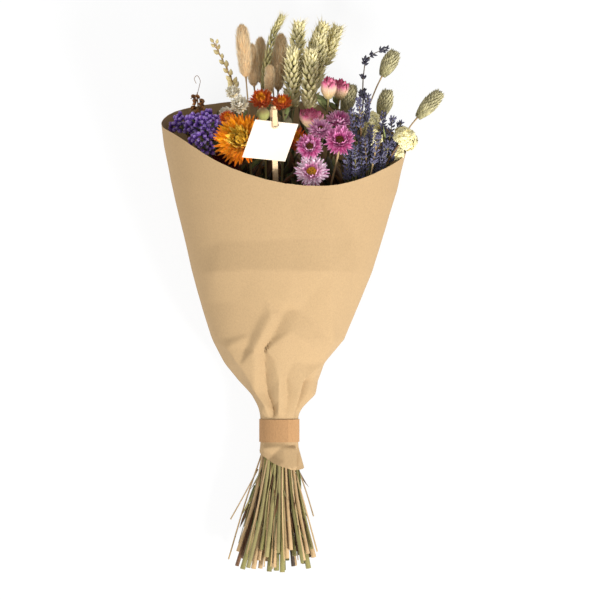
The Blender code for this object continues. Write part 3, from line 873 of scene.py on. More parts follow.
def fill_bracts(plant, rows, centre_skin, centre_share, face=None, dome=0.35):
    """A composite flower: rows of bracts or petals round a disc of florets.

    Each row is (shape, skin, count, ring, angle): ring is where it starts, as a share of the disc,
    and angle is how far the row opens from the head's axis, in degrees. dome is the disc's height
    as a share of its radius.
    """
    axis = (face or plant.axis).normalized()
    across = axis.cross(Vector((0, 1, 0)) if abs(axis.y) < 0.9 else Vector((1, 0, 0))).normalized()
    up = axis.cross(across)
    seat = plant.base.lerp(plant.tip, 0.45)
    disc = plant.radius * centre_share
    for shape, skin_name, count, ring, angle in rows:
        offset = plant.draw(0, math.tau)
        for k in range(count):
            turn = offset + math.tau * (k + plant.draw(-0.22, 0.22)) / count
            out = swung(across, up, turn)
            lean = math.radians(angle + plant.draw(-7, 7))
            aim = swung(axis, out, lean)
            place = seat + out * disc * ring - axis * (1 - math.cos(lean)) * 1.5 * MM
            size = plant.draw(0.8, 1.1)
            roll = plant.draw(-0.3, 0.3)
            face_side = axis * math.sin(lean) - out * math.cos(lean)
            matrix = pose_matrix(place, aim, roll, size, facing=face_side)
            plant.add(shape, skin_name, matrix, plant.draw())
    floret = husk_shape(2.6 * MM, 1.25 * MM, 1.25 * MM, 5, 4, 0.8)
    florets = max(30, min(int(90 * (disc / (5 * MM)) ** 2), 330))
    for k in range(florets):
        spread = math.sqrt((k + 0.5) / florets)
        turn = k * GOLDEN_TURN
        out = swung(across, up, turn)
        place = seat + out * disc * spread + axis * disc * dome * (1 - spread**2)
        aim = axis + out * spread * 0.7
        matrix = pose_matrix(place, aim, 0, plant.draw(0.8, 1.15))
        plant.add(floret, centre_skin, matrix, plant.draw() * (0.55 + 0.45 * spread))
    return axis


def fill_strawflower(plant, outer, middle, inner, centre, openness, reach=None):
    """Strawflower: stiff narrow bracts in many rows, the inner ones curved over the disc.

    openness scales how far the rows open, and reach is the length of the outer bracts in mm.
    """
    size = reach * MM if reach else plant.radius * 1.02
    long = petal_shape(size, size * 0.17, cup=0.6, curl=0.6, tip=0.6, columns=3)
    mid = petal_shape(size * 0.86, size * 0.17, cup=0.65, curl=0.8, tip=0.6, columns=3)
    short = petal_shape(size * 0.6, size * 0.14, cup=0.7, curl=1.0, tip=0.7, rows=6, columns=3)
    rows = [
        (shape, skin_name, count, ring, angle * openness)
        for shape, skin_name, count, ring, angle in (
            (long, outer, 34, 0.95, 98),
            (long, outer, 36, 0.95, 87),
            (long, middle, 36, 0.93, 76),
            (long, middle, 34, 0.92, 65),
            (mid, middle, 32, 0.9, 55),
            (mid, inner, 30, 0.88, 44),
            (short, inner, 26, 0.8, 32),
            (short, inner, 20, 0.6, 18),
        )
    ]
    face = fill_bracts(plant, rows, centre, 0.24, face=plant.axis + UP * 0.35)
    back = petal_shape(size * 0.4, size * 0.2, cup=0.4, curl=0.4)
    seat = plant.base.lerp(plant.tip, 0.2)
    for k in range(14):
        out = Matrix.Rotation(k * GOLDEN_TURN, 4, face) @ face.orthogonal().normalized()
        plant.add(back, outer, pose_matrix(seat, face * 0.7 + out, facing=face), plant.draw())
    plant.add_stem("stem_green", 0.9)
    add_leaves(plant, ("leaf_dark_painted_shade", "leaf_brown", "leaf_green"), 14, 30, 6, 40, 30)


def fill_daisy(plant, skins, centre, reach):
    """Everlasting daisy: narrow satin petals reach mm long, silvery at the tip."""
    length = reach * MM
    width = length * 0.27
    flat = petal_shape(length, width * 0.8, cup=0.5, curl=0.45, tip=0.5)
    raised = petal_shape(length * 0.85, width * 0.75, cup=0.6, curl=0.7, tip=0.6)
    rows = [
        (flat, skins[0], 28, 0.95, 92),
        (flat, skins[1], 30, 0.93, 79),
        (flat, skins[1], 28, 0.92, 66),
        (raised, skins[1], 26, 0.9, 54),
        (raised, skins[0], 18, 0.85, 40),
    ]
    fill_bracts(plant, rows, centre, 0.26)
    plant.add_stem("stem_green", 0.8)
    add_leaves(plant, ("leaf_dark_painted_shade", "leaf_green", "leaf_brown"), 12, 24, 3.2, 50, 26)


def fill_white_everlasting(plant):
    """A small cream everlasting: broad papery bracts round a raised yellow disc."""
    size = plant.radius * 1.1
    petal = petal_shape(size, size * 0.42, cup=0.5, curl=0.8, tip=0.7, rows=5, columns=3)
    rows = [
        (petal, "white_bract", 15, 0.95, 96),
        (petal, "white_bract", 16, 0.95, 78),
        (petal, "white_bract", 16, 0.9, 60),
        (petal, "white_bract", 14, 0.8, 42),
        (petal, "white_bract", 10, 0.6, 22),
    ]
    fill_bracts(plant, rows, "yarrow_floret", 0.3, face=plant.axis + UP, dome=0.8)
    plant.add_stem("stem_green", 0.7)
    add_leaves(plant, GREEN_LEAVES, 10, 16, 3, 90, 30)


def fill_pod(plant, skin_name, ribs):
    """A ribbed seed pod with a small crown."""
    ball = bpy.ops.mesh.primitive_uv_sphere_add
    obj = add_primitive(ball, segments=ribs * 6, ring_count=18, radius=1)
    for vertex in obj.data.vertices:
        share = (vertex.co.z + 1) / 2
        turn = math.atan2(vertex.co.y, vertex.co.x)
        rib = 1 + 0.09 * abs(math.cos(turn * ribs / 2)) ** 0.6
        vertex.co.x = vertex.co.x * plant.radius * 0.93 * rib
        vertex.co.y = vertex.co.y * plant.radius * 0.93 * rib
        vertex.co.z = share * plant.length * 1.05
    plant.add(shape_from_object(obj), skin_name, pose_matrix(plant.base, plant.axis), 0.5)
    crown = petal_shape(4 * MM, 1.5 * MM, cup=0.4, curl=-0.9, rows=4, columns=2)
    seat = plant.tip - plant.axis * 0.5 * MM
    add_ring(plant, crown, "brown_leaf", ribs, seat, plant.axis, 0.5)
    plant.add_stem("stem_green", 0.8)
    add_leaves(plant, ("leaf_dark_painted_shade", "leaf_green"), 12, 26, 2.0, 80, 30)


def dome_way(axis, share, wide, turn, rise):
    """A direction on a dome round an axis, from its top at share 0 to its edge at 1."""
    tilt = math.acos(1 - wide * share)
    spread = axis.to_track_quat("Z", "Y").to_matrix()
    flat = math.sin(tilt)
    out = spread @ Vector((flat * math.cos(turn), flat * math.sin(turn), math.cos(tilt)))
    return (out + UP * rise).normalized()


def fill_statice(plant):
    """Statice: flat-topped sprays of crowded papery cups on branching green stalks."""
    cup = petal_shape(4.6 * MM, 4.0 * MM, cup=0.45, curl=-0.7, tip=0.15, rows=4, columns=3)
    sprays, clusters = 8, 5
    for k in range(sprays):
        out = dome_way(plant.axis, (k + 0.5) / sprays, 1.15, k * GOLDEN_TURN, 0.25)
        knot = plant.base + out * plant.radius * plant.draw(0.7, 1.25) + plant.axis * 1.5 * MM
        stalk = [plant.base - plant.axis * 6 * MM, plant.base.lerp(knot, 0.4), knot]
        add_stalk(plant, stalk, 3, 0.8, "leaf_green", 0.6)
        shade = plant.draw(0.15, 0.85)
        across = out.orthogonal().normalized()
        for cluster in range(clusters):
            angle = cluster * math.tau / (clusters - 1)
            ring = 0.0 if cluster == clusters - 1 else 3.6 * MM
            place = knot + swung(across, out.cross(across), angle) * ring
            place += out * plant.draw(0, 2.0) * MM
            sway = (out + (place - knot) * 120 + plant.jitter(0.3)).normalized()
            tone = min(1, max(0, shade + plant.draw(-0.2, 0.2)))
            add_ring(plant, cup, "statice_calyx", 5, place, sway, 0.45, k, (0.8, 1.1), tone)
    plant.add_stem("stem_green", 0.8)
    add_leaves(plant, GREEN_LEAVES, 12, 26, 5, 70, 30)


def fill_rose(plant):
    """A small rose dried in bud: petals wrapped round each other, with green sepals."""
    size = plant.length * 1.02
    petal = petal_shape(size, plant.radius * 1.75, cup=0.0, tip=0.5, rows=9, columns=8)
    rows = ((3, 0.2, 0), (4, 0.36, 8), (5, 0.54, 14), (6, 0.72, 22), (6, 0.88, 32))
    for row, (count, share, lean) in enumerate(rows):
        for k in range(count):
            turn = math.tau * (k + 0.35 * row) / count + plant.draw(-0.1, 0.1)
            radius, flare = plant.radius * share, plant.radius * 0.14 * row
            wrapped = wrap_petal(petal, radius, math.radians(lean), flare, plant.draw(0, 6))
            matrix = pose_matrix(plant.base, plant.axis, turn, plant.draw(0.94, 1.04))
            plant.add(wrapped, "rose_petal", matrix, plant.draw())
    sepal = petal_shape(size * 0.55, size * 0.18, cup=0.4, curl=-0.5, rows=6, columns=3)
    add_ring(plant, sepal, "rose_green", 5, plant.base, plant.axis, 0.55)
    plant.add_stem("stem_green", 0.8)
    add_leaves(plant, GREEN_LEAVES, 9, 20, 8, 110, 34)


def wrap_petal(petal, radius, lean, flare, phase):
    """Bends a flat petal round the bud's axis: full below, closing towards a ruffled tip."""
    points = petal.points.copy()
    length = points[:, 2].max()
    share = np.clip(points[:, 2] / length, 0, 1)
    belly = np.sin(np.pi * np.clip(share * 0.85 + 0.08, 0, 1))
    swell = radius * (0.35 + 0.9 * belly) + flare * share**3
    wave = np.sin(points[:, 0] / radius * 5 + phase)
    swell = swell + radius * 0.17 * wave * share**2
    turn = points[:, 0] / np.maximum(swell, radius * 0.5)
    depth = points[:, 1]
    points[:, 0] = (swell + depth) * np.sin(turn)
    points[:, 1] = -(swell + depth) * np.cos(turn)
    ragged = 1 + 0.07 * np.cos(points[:, 0] / radius * 4 + phase) * share
    points[:, 2] = points[:, 2] * math.cos(lean) * ragged
    return Shape(points, petal.triangles, petal.along)


def fill_yarrow(plant):
    """A domed cluster of crowded cream florets, each a double ring of short rays."""
    ray = petal_shape(4.8 * MM, 4.0 * MM, cup=0.4, curl=0.8, tip=0.15, rows=4, columns=2)
    inner = petal_shape(3.8 * MM, 3.2 * MM, cup=0.5, curl=1.2, tip=0.15, rows=4, columns=2)
    seat = plant.base
    count = 40
    for k in range(count):
        out = dome_way(plant.axis, (k + 0.5) / count, 1.3, k * GOLDEN_TURN, 0.2)
        place = seat + out * plant.radius * plant.draw(0.65, 1.0)
        stalk = [seat - plant.axis * 5 * MM, seat.lerp(place, 0.5), place]
        add_stalk(plant, stalk, 2, 0.7, "leaf_green", 0.5, sides=4)
        sway = (out + plant.jitter(0.3)).normalized()
        tone = plant.draw()
        add_ring(plant, ray, "yarrow_floret", 9, place, sway, 0.85, k, (0.85, 1.1), tone)
        add_ring(plant, inner, "yarrow_floret", 6, place, sway, 0.45, k, 1.0, tone)
    plant.add_stem("stem_green", 0.8)
    add_leaves(plant, GREEN_LEAVES, 10, 24, 4, 90, 24)


# More spikes that branch from a lavender's stem: from (x, y, z) to (x, y, z) in mm
LAVENDER_SHOOTS = {
    "lavender_1": [
        ((72, 160, 112), (69, 188, 120)), ((84, 176, 108), (85, 202, 114)),
    ],
    "lavender_2": [
        ((98, 128, 104), (102, 154, 113)), ((85, 146, 112), (88, 172, 119)),
        ((101, 140, 94), (104, 166, 101)),
    ],
    "lavender_3": [
        ((112, 152, 94), (118, 177, 101)), ((100, 158, 94), (101, 186, 101)),
        ((108, 136, 92), (112, 160, 99)),
    ],
    "lavender_4": [
        ((92, 119, 100), (93, 146, 112)), ((88, 141, 98), (86, 168, 106)),
        ((79, 134, 104), (78, 162, 115)),
    ],
    "lavender_5": [
        ((66, 118, 112), (63, 145, 124)), ((78, 115, 108), (79, 142, 120)),
        ((69, 130, 108), (67, 158, 118)),
    ],
}


def add_lavender_spike(plant, line, radius, bud, bud_skin, knots):
    """Whorls of buds along a line: each knot is its share of the line and its size."""
    for number, (share, bulk) in enumerate(knots):
        step = share * (len(line) - 1)
        index = min(int(step), len(line) - 2)
        centre = line[index].lerp(line[index + 1], step - index)
        heading = (line[index + 1] - line[index]).normalized()
        side, up = sideways(heading)
        buds = int(7 * bulk)
        for k in range(buds):
            turn = k * math.tau / buds + number * 0.5 + plant.draw(-0.2, 0.2)
            out = swung(side, up, turn)
            lean = math.radians(plant.draw(22, 58))
            aim = swung(heading, out, lean)
            size = plant.draw(0.7, 1.1) * (1.05 - 0.3 * share)
            place = centre + out * radius * 0.25 + heading * plant.draw(-1.2, 1.2) * MM * bulk
            plant.add(bud, bud_skin, pose_matrix(place, aim, 0, size), plant.draw())


# The tall spike's buds sit in a few ragged knots: share of the spike, and size
TALL_KNOTS = [
    (0.02, 2.6), (0.08, 2.2), (0.33, 1.3), (0.46, 1.6), (0.5, 1.4), (0.62, 1.8), (0.8, 1.6),
    (0.97, 2.0),
]


def fill_lavender(plant, dark=False):
    """Lavender: whorls of small ribbed buds up a thin stem, with more spikes on side shoots."""
    bud_skin = "lavender_dark" if dark else "lavender_bud"
    bud = husk_shape(5.4 * MM, 2.3 * MM, 2.3 * MM, 6, 5, 0.8)
    full = [((level + 0.4) / 9, 1.0) for level in range(9)]
    add_lavender_spike(plant, plant.line, plant.radius, bud, bud_skin, TALL_KNOTS if dark else full)
    for low, high in LAVENDER_SHOOTS.get(plant.node, ()):
        foot, top = Vector(low) * MM, Vector(high) * MM
        joint = plant.stem[-3][0]
        bow = joint.lerp(foot, 0.5) + Vector((0, 0, 2 * MM))
        add_stalk(plant, [joint, bow, foot, top], 4, 0.6, "stem_green", 0.4)
        line = [foot, foot.lerp(top, 0.5), top]
        add_lavender_spike(plant, line, plant.radius, bud, bud_skin, full)
    plant.add_stem("stem_dark" if dark else "stem_green", 0.6, into_head=0.97)
    if not dark:
        add_leaves(plant, GREEN_LEAVES, 12, 28, 2.2, 60, 16)


# ---------------------------------------------------------------- operators


def build(prefix, slot, fill, *options):
    """Builds every flower whose node's name starts with prefix."""
    for node in sorted(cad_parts):
        if node.startswith(prefix):
            plant = Plant(node)
            fill(plant, *options)
            plant.parts.finish(node, slot)


class BOUQUET_OT_grasses(bpy.types.Operator):
    """Builds the wheat, the slim grass ear, the bunny tails and the canary grass"""

    bl_idname = "bouquet.grasses"
    bl_label = "Grasses"

    def execute(self, context):
        build("wheat", "wheat", fill_wheat)
        build("grass_ear", "grass_ear", fill_grass_ear)
        build("bunny_tail", "bunny_tail", fill_bunny_tail)
        build("canary_grass", "canary_grass", fill_canary_grass)
        return {"FINISHED"}


class BOUQUET_OT_sprays(bpy.types.Operator):
    """Builds the flax, the brown spray, the pods, the lavender, the yarrow and the statice"""

    bl_idname = "bouquet.sprays"
    bl_label = "Sprays and pods"

    def execute(self, context):
        build("flax_pods", "flax", fill_flax)
        build("brown_spray", "brown_spray", fill_brown_spray)
        build("green_pod_1", "green_pod", fill_pod, "pod_green", 6)
        build("green_pod_2", "green_pod", fill_pod, "pod_grey", 8)
        build("lavender", "lavender", fill_lavender)
        build("tall_lavender", "lavender", fill_lavender, True)
        build("yarrow", "yarrow", fill_yarrow)
        build("statice", "statice", fill_statice)
        return {"FINISHED"}


# The strawflowers' outer, middle and inner bracts, disc, openness and length in mm
STRAWFLOWERS = {
    "orange_strawflower": ("straw_outer", "straw_orange", "straw_yellow", "floret_gold", 0.92, 23),
    "rust_strawflower": ("straw_rust", "straw_rust", "straw_orange", "floret_gold", 0.8),
    "red_strawflower": ("straw_red", "straw_red", "straw_red", "floret_dark", 0.85, 14),
}
# The everlasting daisies' outer and inner petals, disc and length in mm
DAISIES = {
    "pink_everlasting_1": (("daisy_pink", "daisy_pale"), "floret_gold", 13.5),
    "pink_everlasting_2": (("daisy_magenta", "daisy_pink"), "floret_dark", 11.5),
    "pink_everlasting_3": (("daisy_pink", "daisy_pink"), "floret_dark", 10.5),
    "pink_everlasting_4": (("daisy_magenta", "daisy_magenta"), "floret_dark", 12.5),
    "pink_everlasting_5": (("daisy_pink", "daisy_magenta"), "floret_dark", 11),
}


class BOUQUET_OT_blooms(bpy.types.Operator):
    """Builds the strawflowers, the everlasting daisies, the white everlastings and the roses"""

    bl_idname = "bouquet.blooms"
    bl_label = "Blooms"

    def execute(self, context):
        for prefix, look in STRAWFLOWERS.items():
            build(prefix, prefix, fill_strawflower, *look)
        for node, look in DAISIES.items():
            build(node, "pink_everlasting", fill_daisy, *look)
        build("white_everlasting", "white_everlasting", fill_white_everlasting)
        build("rose", "rose", fill_rose)
        return {"FINISHED"}


# Folds in the paper's front: each is a line of (x, y, height) in mm, height over the plain cone.
# The flat facets between them give the crisp light and dark patches of creased paper.
FOLDS = [
    [(45, 112, 1.0), (45, 60, 2.5), (45, 28, 4.5), (43, -15, 3.0), (41.5, -46, 2.6),
     (41, -62, 3.2)],
    [(-91, 25, 1.0), (-60, 28, 2.2), (-27, 30, 2.4), (10, 29, 2.8), (45, 28, 4.5)],
    [(-2, -11, 0.2), (6, -9.5, -0.3), (16, -10, 0.2)],
    [(-9, -15, 2.0), (-17, -33, 2.2), (-24, -50, 2.4), (-22.5, -72, 2.8), (-23, -92, 2.8)],
    [(-23, -92, 2.8), (-14, -108, 2.4), (-12.5, -123, 1.2)],
    [(-19, -13, 0.2), (-29, -33, -0.2), (-34, -50, 0.0)],
    [(-1, -20, 0.0), (-10, -38, -0.3), (-17.5, -54, -1.2), (-17, -75, -1.6), (-15.5, -95, -1.6)],
    [(-15.5, -95, -1.6), (-9.5, -112, -1.8), (-9, -124, -1.5)],
    [(7, -31, 2.8), (-14, -51, 1.4)],
    [(7, -31, 2.8), (24, -46, 2.8), (41, -62, 3.2)],
    [(-6, -60, 1.4), (-3, -80, 2.4), (-3, -100, 2.8), (-4, -122, 1.2)],
    [(41, -62, 3.2), (28, -72, 3.2), (18.5, -82, 3.4), (13.5, -94, 3.4), (8.5, -121, 1.4)],
    [(22, -82, -0.8), (19, -95, -1.4), (15, -108, -1.2), (13, -121, 0.0)],
    [(32, -78, 1.8), (27, -92, 2.0), (22, -108, 1.4), (17, -121, 0.5)],
    [(5, -75, 0.8), (5, -95, 0.2), (3, -121, 0.0)],
    [(-50, -48, 2.2), (-36, -66, 2.4), (-26, -82, 2.6)],
    [(-60, -55, -0.9), (-50, -70, -1.2), (-38, -84, -0.9), (-29, -100, -0.5)],
    [(-24, -150, 1.2), (-10, -157, -1.4), (0, -148, 1.2)],
    [(-8, -172, 0.6), (2, -163, 1.0), (12, -150, 1.4), (13, -170, 1.2)],
    [(16, -146, -1.6), (16.5, -172, -1.8)],
]
# Places between the folds where the paper keeps to the plain cone or near it, in mm
REST_POINTS = [
    (-125, 125, 0), (-60, 110, 0), (0, 118, 0), (130, 150, 0), (12, 95, 0), (12, 60, 0),
    (-20, 58, 0), (-60, 58, 0), (-112, 40, 0), (72, 60, 0), (74, 28, 0.5), (112, 40, 0),
    (66, -20, 0), (55, -45, 0), (92, -20, 0), (-78, -5, 0), (-45, -2, 0), (-14, 0, 1.4),
    (5, -1, 1.8), (25, 0, 0.8), (30, -22, 0.8), (12, -62, 1.0), (25, -64, 1.4), (-92, -20, 0),
    (-66, -42, 0.5), (-64, -62, 0.5), (-50, -84, 0.8), (-33, -102, 0.8), (-30, -123, 0),
    (25, -123, 0), (45, -80, 0.5), (35, -100, 0.5), (60, -62, 0), (-80, -60, 0), (-28, -145, 0),
    (-30, -176, 0), (20.5, -150, 0.8), (28, -160, 0), (24, -176, 0), (24, -145, 0),
]
# How much the sides bulge past the plain cone: Y, to the left and to the right, in mm
SIDE_EASE = [
    (-110, 0, 0), (-96, 0.5, 1.5), (-82, 3, -2.5), (-64, 3.1, -0.5), (-40, 2.7, 6.9),
    (-11, 1.9, 2.1), (28, 2, 0), (85, 1.5, -1), (126, 0.3, 0.3), (154, 2, 2.5), (176, 2, 2),
]
# How far the mouth's edge dips under the plain cone's: turn in degrees from +X by +Z, and mm
RIM_DROP = [(0, 0), (30, 1), (60, 3.5), (90, 3), (120, 2.5), (150, 1), (180, 0), (360, 0)]
FOLD_DEPTH = 2.2  # how much deeper the creases are pressed than the table says
# The line down the cone's middle that its girth is measured from: Y and Z in mm
MIDDLE = ((-175, 30), (-110, 31), (-60, 36), (0, 44), (85, 60), (210, 74))
BAND_Y, BAND_HALF, BAND_FADE = -132, 12.5, 6  # the paper lies flat under the band, in mm
SKIRT_PROBE, CONE_PROBE = -0.149, 0.08  # places on Y where every turn meets the paper


def fold_surface():
    """The folds and rest points joined into flat facets, as a tree that rays can be cast on."""
    places, edges = [], []
    for line in FOLDS:
        edges += [(len(places) + i, len(places) + i + 1) for i in range(len(line) - 1)]
        places += line
    places += REST_POINTS
    flat = [Vector((x, y)) for x, y, _ in places]
    points, _, triangles, origins, _, _ = geometry.delaunay_2d_cdt(flat, edges, [], 0, 1e-5)
    heights = []
    for point, sources in zip(points, origins):
        if sources:
            heights.append(sum(places[i][2] for i in sources) / len(sources))
        else:
            near = sorted(places, key=lambda place: (Vector(place[:2]) - point).length_squared)
            heights.append((near[0][2] + near[1][2]) / 2)
    raised = [Vector((point.x, point.y, height)) for point, height in zip(points, heights)]
    return BVHTree.FromPolygons(raised, triangles)


def smoothed(table, turns, rows):
    """A grid of distances, closed round its turns, with strays dropped and corners eased."""

    def round_turns(reach):
        return np.stack([np.roll(table, k, axis=0) for k in range(-reach, reach + 1)])

    def along_rows(reach, **padding):
        padded = np.pad(table, ((0, 0), (reach, reach)), **padding)
        count = table.shape[1]
        return np.stack([padded[:, k : k + count] for k in range(2 * reach + 1)])

    table = np.median(round_turns(2), axis=0)
    table = np.median(along_rows(2, mode="edge"), axis=0)
    table = np.mean(round_turns(turns), axis=0)
    return np.mean(along_rows(rows, mode="reflect", reflect_type="odd"), axis=0)


class BOUQUET_OT_paper(bpy.types.Operator):
    """Builds the creased kraft paper cone on its CAD shell"""

    bl_idname = "bouquet.paper"
    bl_label = "Kraft paper"

    turns = 232
    rows = 196

    def execute(self, context):
        paper = settings()[0]
        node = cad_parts["paper_wrapper"]
        corners = [vertex.co for vertex in node.data.vertices]
        shell = BVHTree.FromPolygons(corners, [face.vertices for face in node.data.polygons])
        folds = fold_surface()
        low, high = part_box("paper_wrapper")
        headings, heights, distances = [], [], []
        for k in range(self.turns):
            turn = math.tau * k / self.turns
            turn -= 0.28 * math.sin(2 * turn)  # closer steps at the creased front and the flat back
            heading = Vector((math.cos(turn), 0, math.sin(turn)))
            start, end = self.span(shell, heading, low.y, high.y)
            column = [start + (end - start) * row / self.rows for row in range(self.rows + 1)]
            headings.append(heading)
            heights.append(column)
            distances.append([self.wall(shell, heading, y) for y in column])
        filled = []
        for line in distances:
            known = [d for d in line if d is not None]
            filled.append([known[0] if d is None else d for d in line])
        distances = smoothed(np.array(filled), 3, 2)
        grid = []
        for heading, column, line in zip(headings, heights, distances):
            grid += [
                self.creased(self.axis(y) + heading * distance, heading, folds)
                for y, distance in zip(column, line)
            ]
        span = self.rows + 1
        faces = []
        for k in range(self.turns):
            here, there = k * span, (k + 1) % self.turns * span
            for row in range(self.rows):
                faces.append((here + row, there + row, there + row + 1, here + row + 1))
        mesh = bpy.data.meshes.new("kraft_wrap")
        mesh.from_pydata(grid, [], faces)
        obj = bpy.data.objects.new("kraft_wrap", mesh)
        bpy.context.scene.collection.objects.link(obj)
        bpy.ops.object.select_all(action="DESELECT")
        bpy.context.view_layer.objects.active = obj
        obj.select_set(True)
        bpy.ops.object.mode_set(mode="EDIT")
        bpy.ops.mesh.select_all(action="SELECT")
        bpy.ops.mesh.normals_make_consistent(inside=False)
        bpy.ops.object.mode_set(mode="OBJECT")
        wall = obj.modifiers.new("Wall", "SOLIDIFY")
        wall.thickness = paper.thickness
        wall.offset = -1
        bpy.ops.object.modifier_apply(modifier=wall.name)
        bpy.ops.object.shade_smooth_by_angle(angle=math.radians(38))
        mesh.materials.append(kraft_material("kraft_paper_natural", tuple(paper.kraft)))
        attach(obj, "root")
        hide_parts("paper_wrapper")
        return {"FINISHED"}

    def axis(self, y):
        """A point well inside the cone at a distance along it."""
        for (a, za), (b, zb) in zip(MIDDLE, MIDDLE[1:]):
            if y / MM <= b:
                share = max(0.0, (y / MM - a) / (b - a))
                shift = min(1.0, max(0.0, (-50 - y / MM) / 60))
                return Vector((-3 * MM * shift, y, (za + (zb - za) * share) * MM))
        return Vector((0, y, MIDDLE[-1][1] * MM))

    def wall(self, shell, heading, y):
        """How far the outer face of the shell is from the axis."""
        origin = self.axis(y)
        place, found = origin, None
        for _ in range(3):
            hit = shell.ray_cast(place, heading)[0]
            if hit is None:
                break
            found = (hit - origin).length
            place = hit + heading * 1e-5
        return found

    def span(self, shell, heading, low, high):
        """Where the shell starts and ends along Y at this turn."""
        step = 0.25 * MM
        start = y = SKIRT_PROBE
        while y > low - step and self.wall(shell, heading, y) is not None:
            start, y = y, y - step
        end = y = CONE_PROBE
        while y < high + step and self.wall(shell, heading, y) is not None:
            end, y = y, y + step
        turn = math.degrees(math.atan2(heading.z, heading.x)) % 360
        return start, end - np.interp(turn, *zip(*RIM_DROP)) * MM

    def creased(self, point, heading, folds):
        """A place on the plain cone moved to where the folds and the crumple put it."""
        y = point.y / MM
        hit = folds.ray_cast(Vector((point.x / MM, y, 50)), -UP)[0]
        front = min(1.0, max(0.0, heading.z * 2.2 - 0.25))
        lift = FOLD_DEPTH * hit.z * front if hit else 0.0
        crumple = noise.noise(point * 16) + 0.4 * noise.noise(point * 45)
        lift = lift * MM + crumple * settings()[0].crumple
        lift *= max(0.0, min(1.0, (abs(y - BAND_Y) - BAND_HALF) / BAND_FADE))
        moved = point + heading * lift
        stations, left, right = zip(*SIDE_EASE)
        moved.x += np.interp(y, stations, right if heading.x > 0 else left) * heading.x * MM
        moved.z = max(moved.z, 0.05 * MM)
        return moved


class BOUQUET_OT_ties(bpy.types.Operator):
    """Gives the band, the tie, the card, its peg and its stick their materials"""

    bl_idname = "bouquet.ties"
    bl_label = "Band, tie and card"

    def execute(self, context):
        band = tuple(settings()[0].band)
        birch = wood_material("birch_peg", "#E2C193")
        finishes = {
            "paper_band": kraft_material("kraft_paper_dark", band, 1.4, lap=6 * MM),
            "stem_tie": petal_material("jute_twine", [(0.0, "#8E7448"), (1.0, "#B89C68")]),
            "card": card_material("cotton_card", "#E4D2BC"),
            "card_stick": wood_material("birch_stick", "#E6C79C"),
            "peg_front_leg": birch,
            "peg_back_leg": birch,
            "peg_spring": wire_material("spring_steel", "#8C8880"),
        }
        for node, finish in finishes.items():
            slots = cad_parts[node].data.materials
            slots.clear()
            slots.append(finish)
        return {"FINISHED"}


FLOOR_Z = -0.4 * MM
FLOOR_GLOW = 0.88  # how much of the floor's white is its own, the rest keeps the shadow
# Each lamp's name, place in metres, width in metres and power in watts
LAMPS = (
    ("key", (1.35, -1.3, 1.3), 0.5, 64),
    ("fill", (-1.5, -0.9, 1.8), 1.4, 34),
)
LAMP_TARGET = (0, 0.02, 0.08)
SKY_STRENGTH = 0.55
CAMERA_X = 0.018
SHARP_Z = 0.08  # the height at which the picture's width is taken


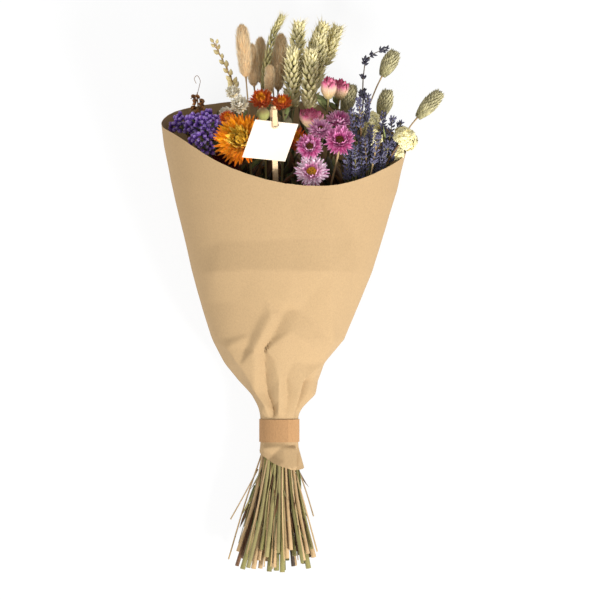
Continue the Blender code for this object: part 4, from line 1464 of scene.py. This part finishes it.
class BOUQUET_OT_stage(bpy.types.Operator):
    """Sets the pale floor, the soft lights and the camera that looks straight down"""

    bl_idname = "bouquet.stage"
    bl_label = "Stage"

    def execute(self, context):
        stage = settings()[2]
        floor = add_primitive(bpy.ops.mesh.primitive_plane_add, size=8)
        floor.name = "floor"
        floor.location.z = FLOOR_Z
        made, tree, shader = start_material("floor_white", 0.9)
        shader.inputs["Base Color"].default_value = (0.9, 0.9, 0.9, 1)
        ray = add_node(tree, "ShaderNodeLightPath").outputs
        seen = add_maths(tree, "MAXIMUM", ray["Is Camera Ray"], ray["Is Glossy Ray"])
        seen = add_maths(tree, "MAXIMUM", seen, ray["Is Transmission Ray"])
        share = add_maths(tree, "MULTIPLY", seen, FLOOR_GLOW)
        white = add_node(tree, "ShaderNodeEmission", {"Color": (1, 1, 1, 1), "Strength": 1.0})
        inputs = {0: share, 1: shader.outputs[0], 2: white.outputs[0]}
        mixed = add_node(tree, "ShaderNodeMixShader", inputs)
        tree.links.new(mixed.outputs[0], tree.nodes["Material Output"].inputs["Surface"])
        floor.data.materials.append(made)

        for name, place, size, power in LAMPS:
            lamp = bpy.data.lights.new(name, "AREA")
            lamp.size = size
            lamp.energy = power
            holder = bpy.data.objects.new(name, lamp)
            bpy.context.scene.collection.objects.link(holder)
            holder.location = place
            aim = Vector(LAMP_TARGET) - Vector(place)
            holder.rotation_euler = aim.to_track_quat("-Z", "Y").to_euler()

        scene = bpy.context.scene
        scene.world = bpy.data.worlds.new("studio")
        scene.world.use_nodes = True
        back = scene.world.node_tree.nodes["Background"]
        back.inputs["Color"].default_value = (1, 1, 1, 1)
        back.inputs["Strength"].default_value = SKY_STRENGTH
        scene.view_settings.view_transform = "Standard"

        camera = bpy.data.cameras.new("camera")
        distance = stage.camera_height - SHARP_Z
        camera.lens = camera.sensor_width * distance / stage.picture_width
        camera.clip_end = 20
        holder = bpy.data.objects.new("camera", camera)
        scene.collection.objects.link(holder)
        holder.location = (CAMERA_X, 0, stage.camera_height)
        scene.camera = holder
        return {"FINISHED"}


class BOUQUET_PT_panel(bpy.types.Panel):
    """Lists the steps that build the bouquet"""

    bl_idname = "BOUQUET_PT_panel"
    bl_label = "Dried flower bouquet"
    bl_space_type = "VIEW_3D"
    bl_region_type = "UI"
    bl_category = "Bouquet"

    def draw(self, context):
        for group in settings():
            for name in group.__annotations__:
                self.layout.prop(group, name)
        for operator in STEPS:
            self.layout.operator(operator.bl_idname)


STEPS = (
    BOUQUET_OT_stage,
    BOUQUET_OT_paper,
    BOUQUET_OT_ties,
    BOUQUET_OT_grasses,
    BOUQUET_OT_sprays,
    BOUQUET_OT_blooms,
)
GROUPS = (PaperSettings, FlowerSettings, StageSettings)


def register():
    for cls in (*GROUPS, *STEPS, BOUQUET_PT_panel):
        bpy.utils.register_class(cls)
    bpy.types.Scene.bouquet_paper = bpy.props.PointerProperty(type=PaperSettings)
    bpy.types.Scene.bouquet_flowers = bpy.props.PointerProperty(type=FlowerSettings)
    bpy.types.Scene.bouquet_stage = bpy.props.PointerProperty(type=StageSettings)


def unregister():
    del bpy.types.Scene.bouquet_paper
    del bpy.types.Scene.bouquet_flowers
    del bpy.types.Scene.bouquet_stage
    for cls in reversed((*GROUPS, *STEPS, BOUQUET_PT_panel)):
        bpy.utils.unregister_class(cls)


def main():
    register()
    bpy.ops.bouquet.stage()
    bpy.ops.bouquet.paper()
    bpy.ops.bouquet.ties()
    bpy.ops.bouquet.grasses()
    bpy.ops.bouquet.sprays()
    bpy.ops.bouquet.blooms()


if __name__ == "__main__":
    main()
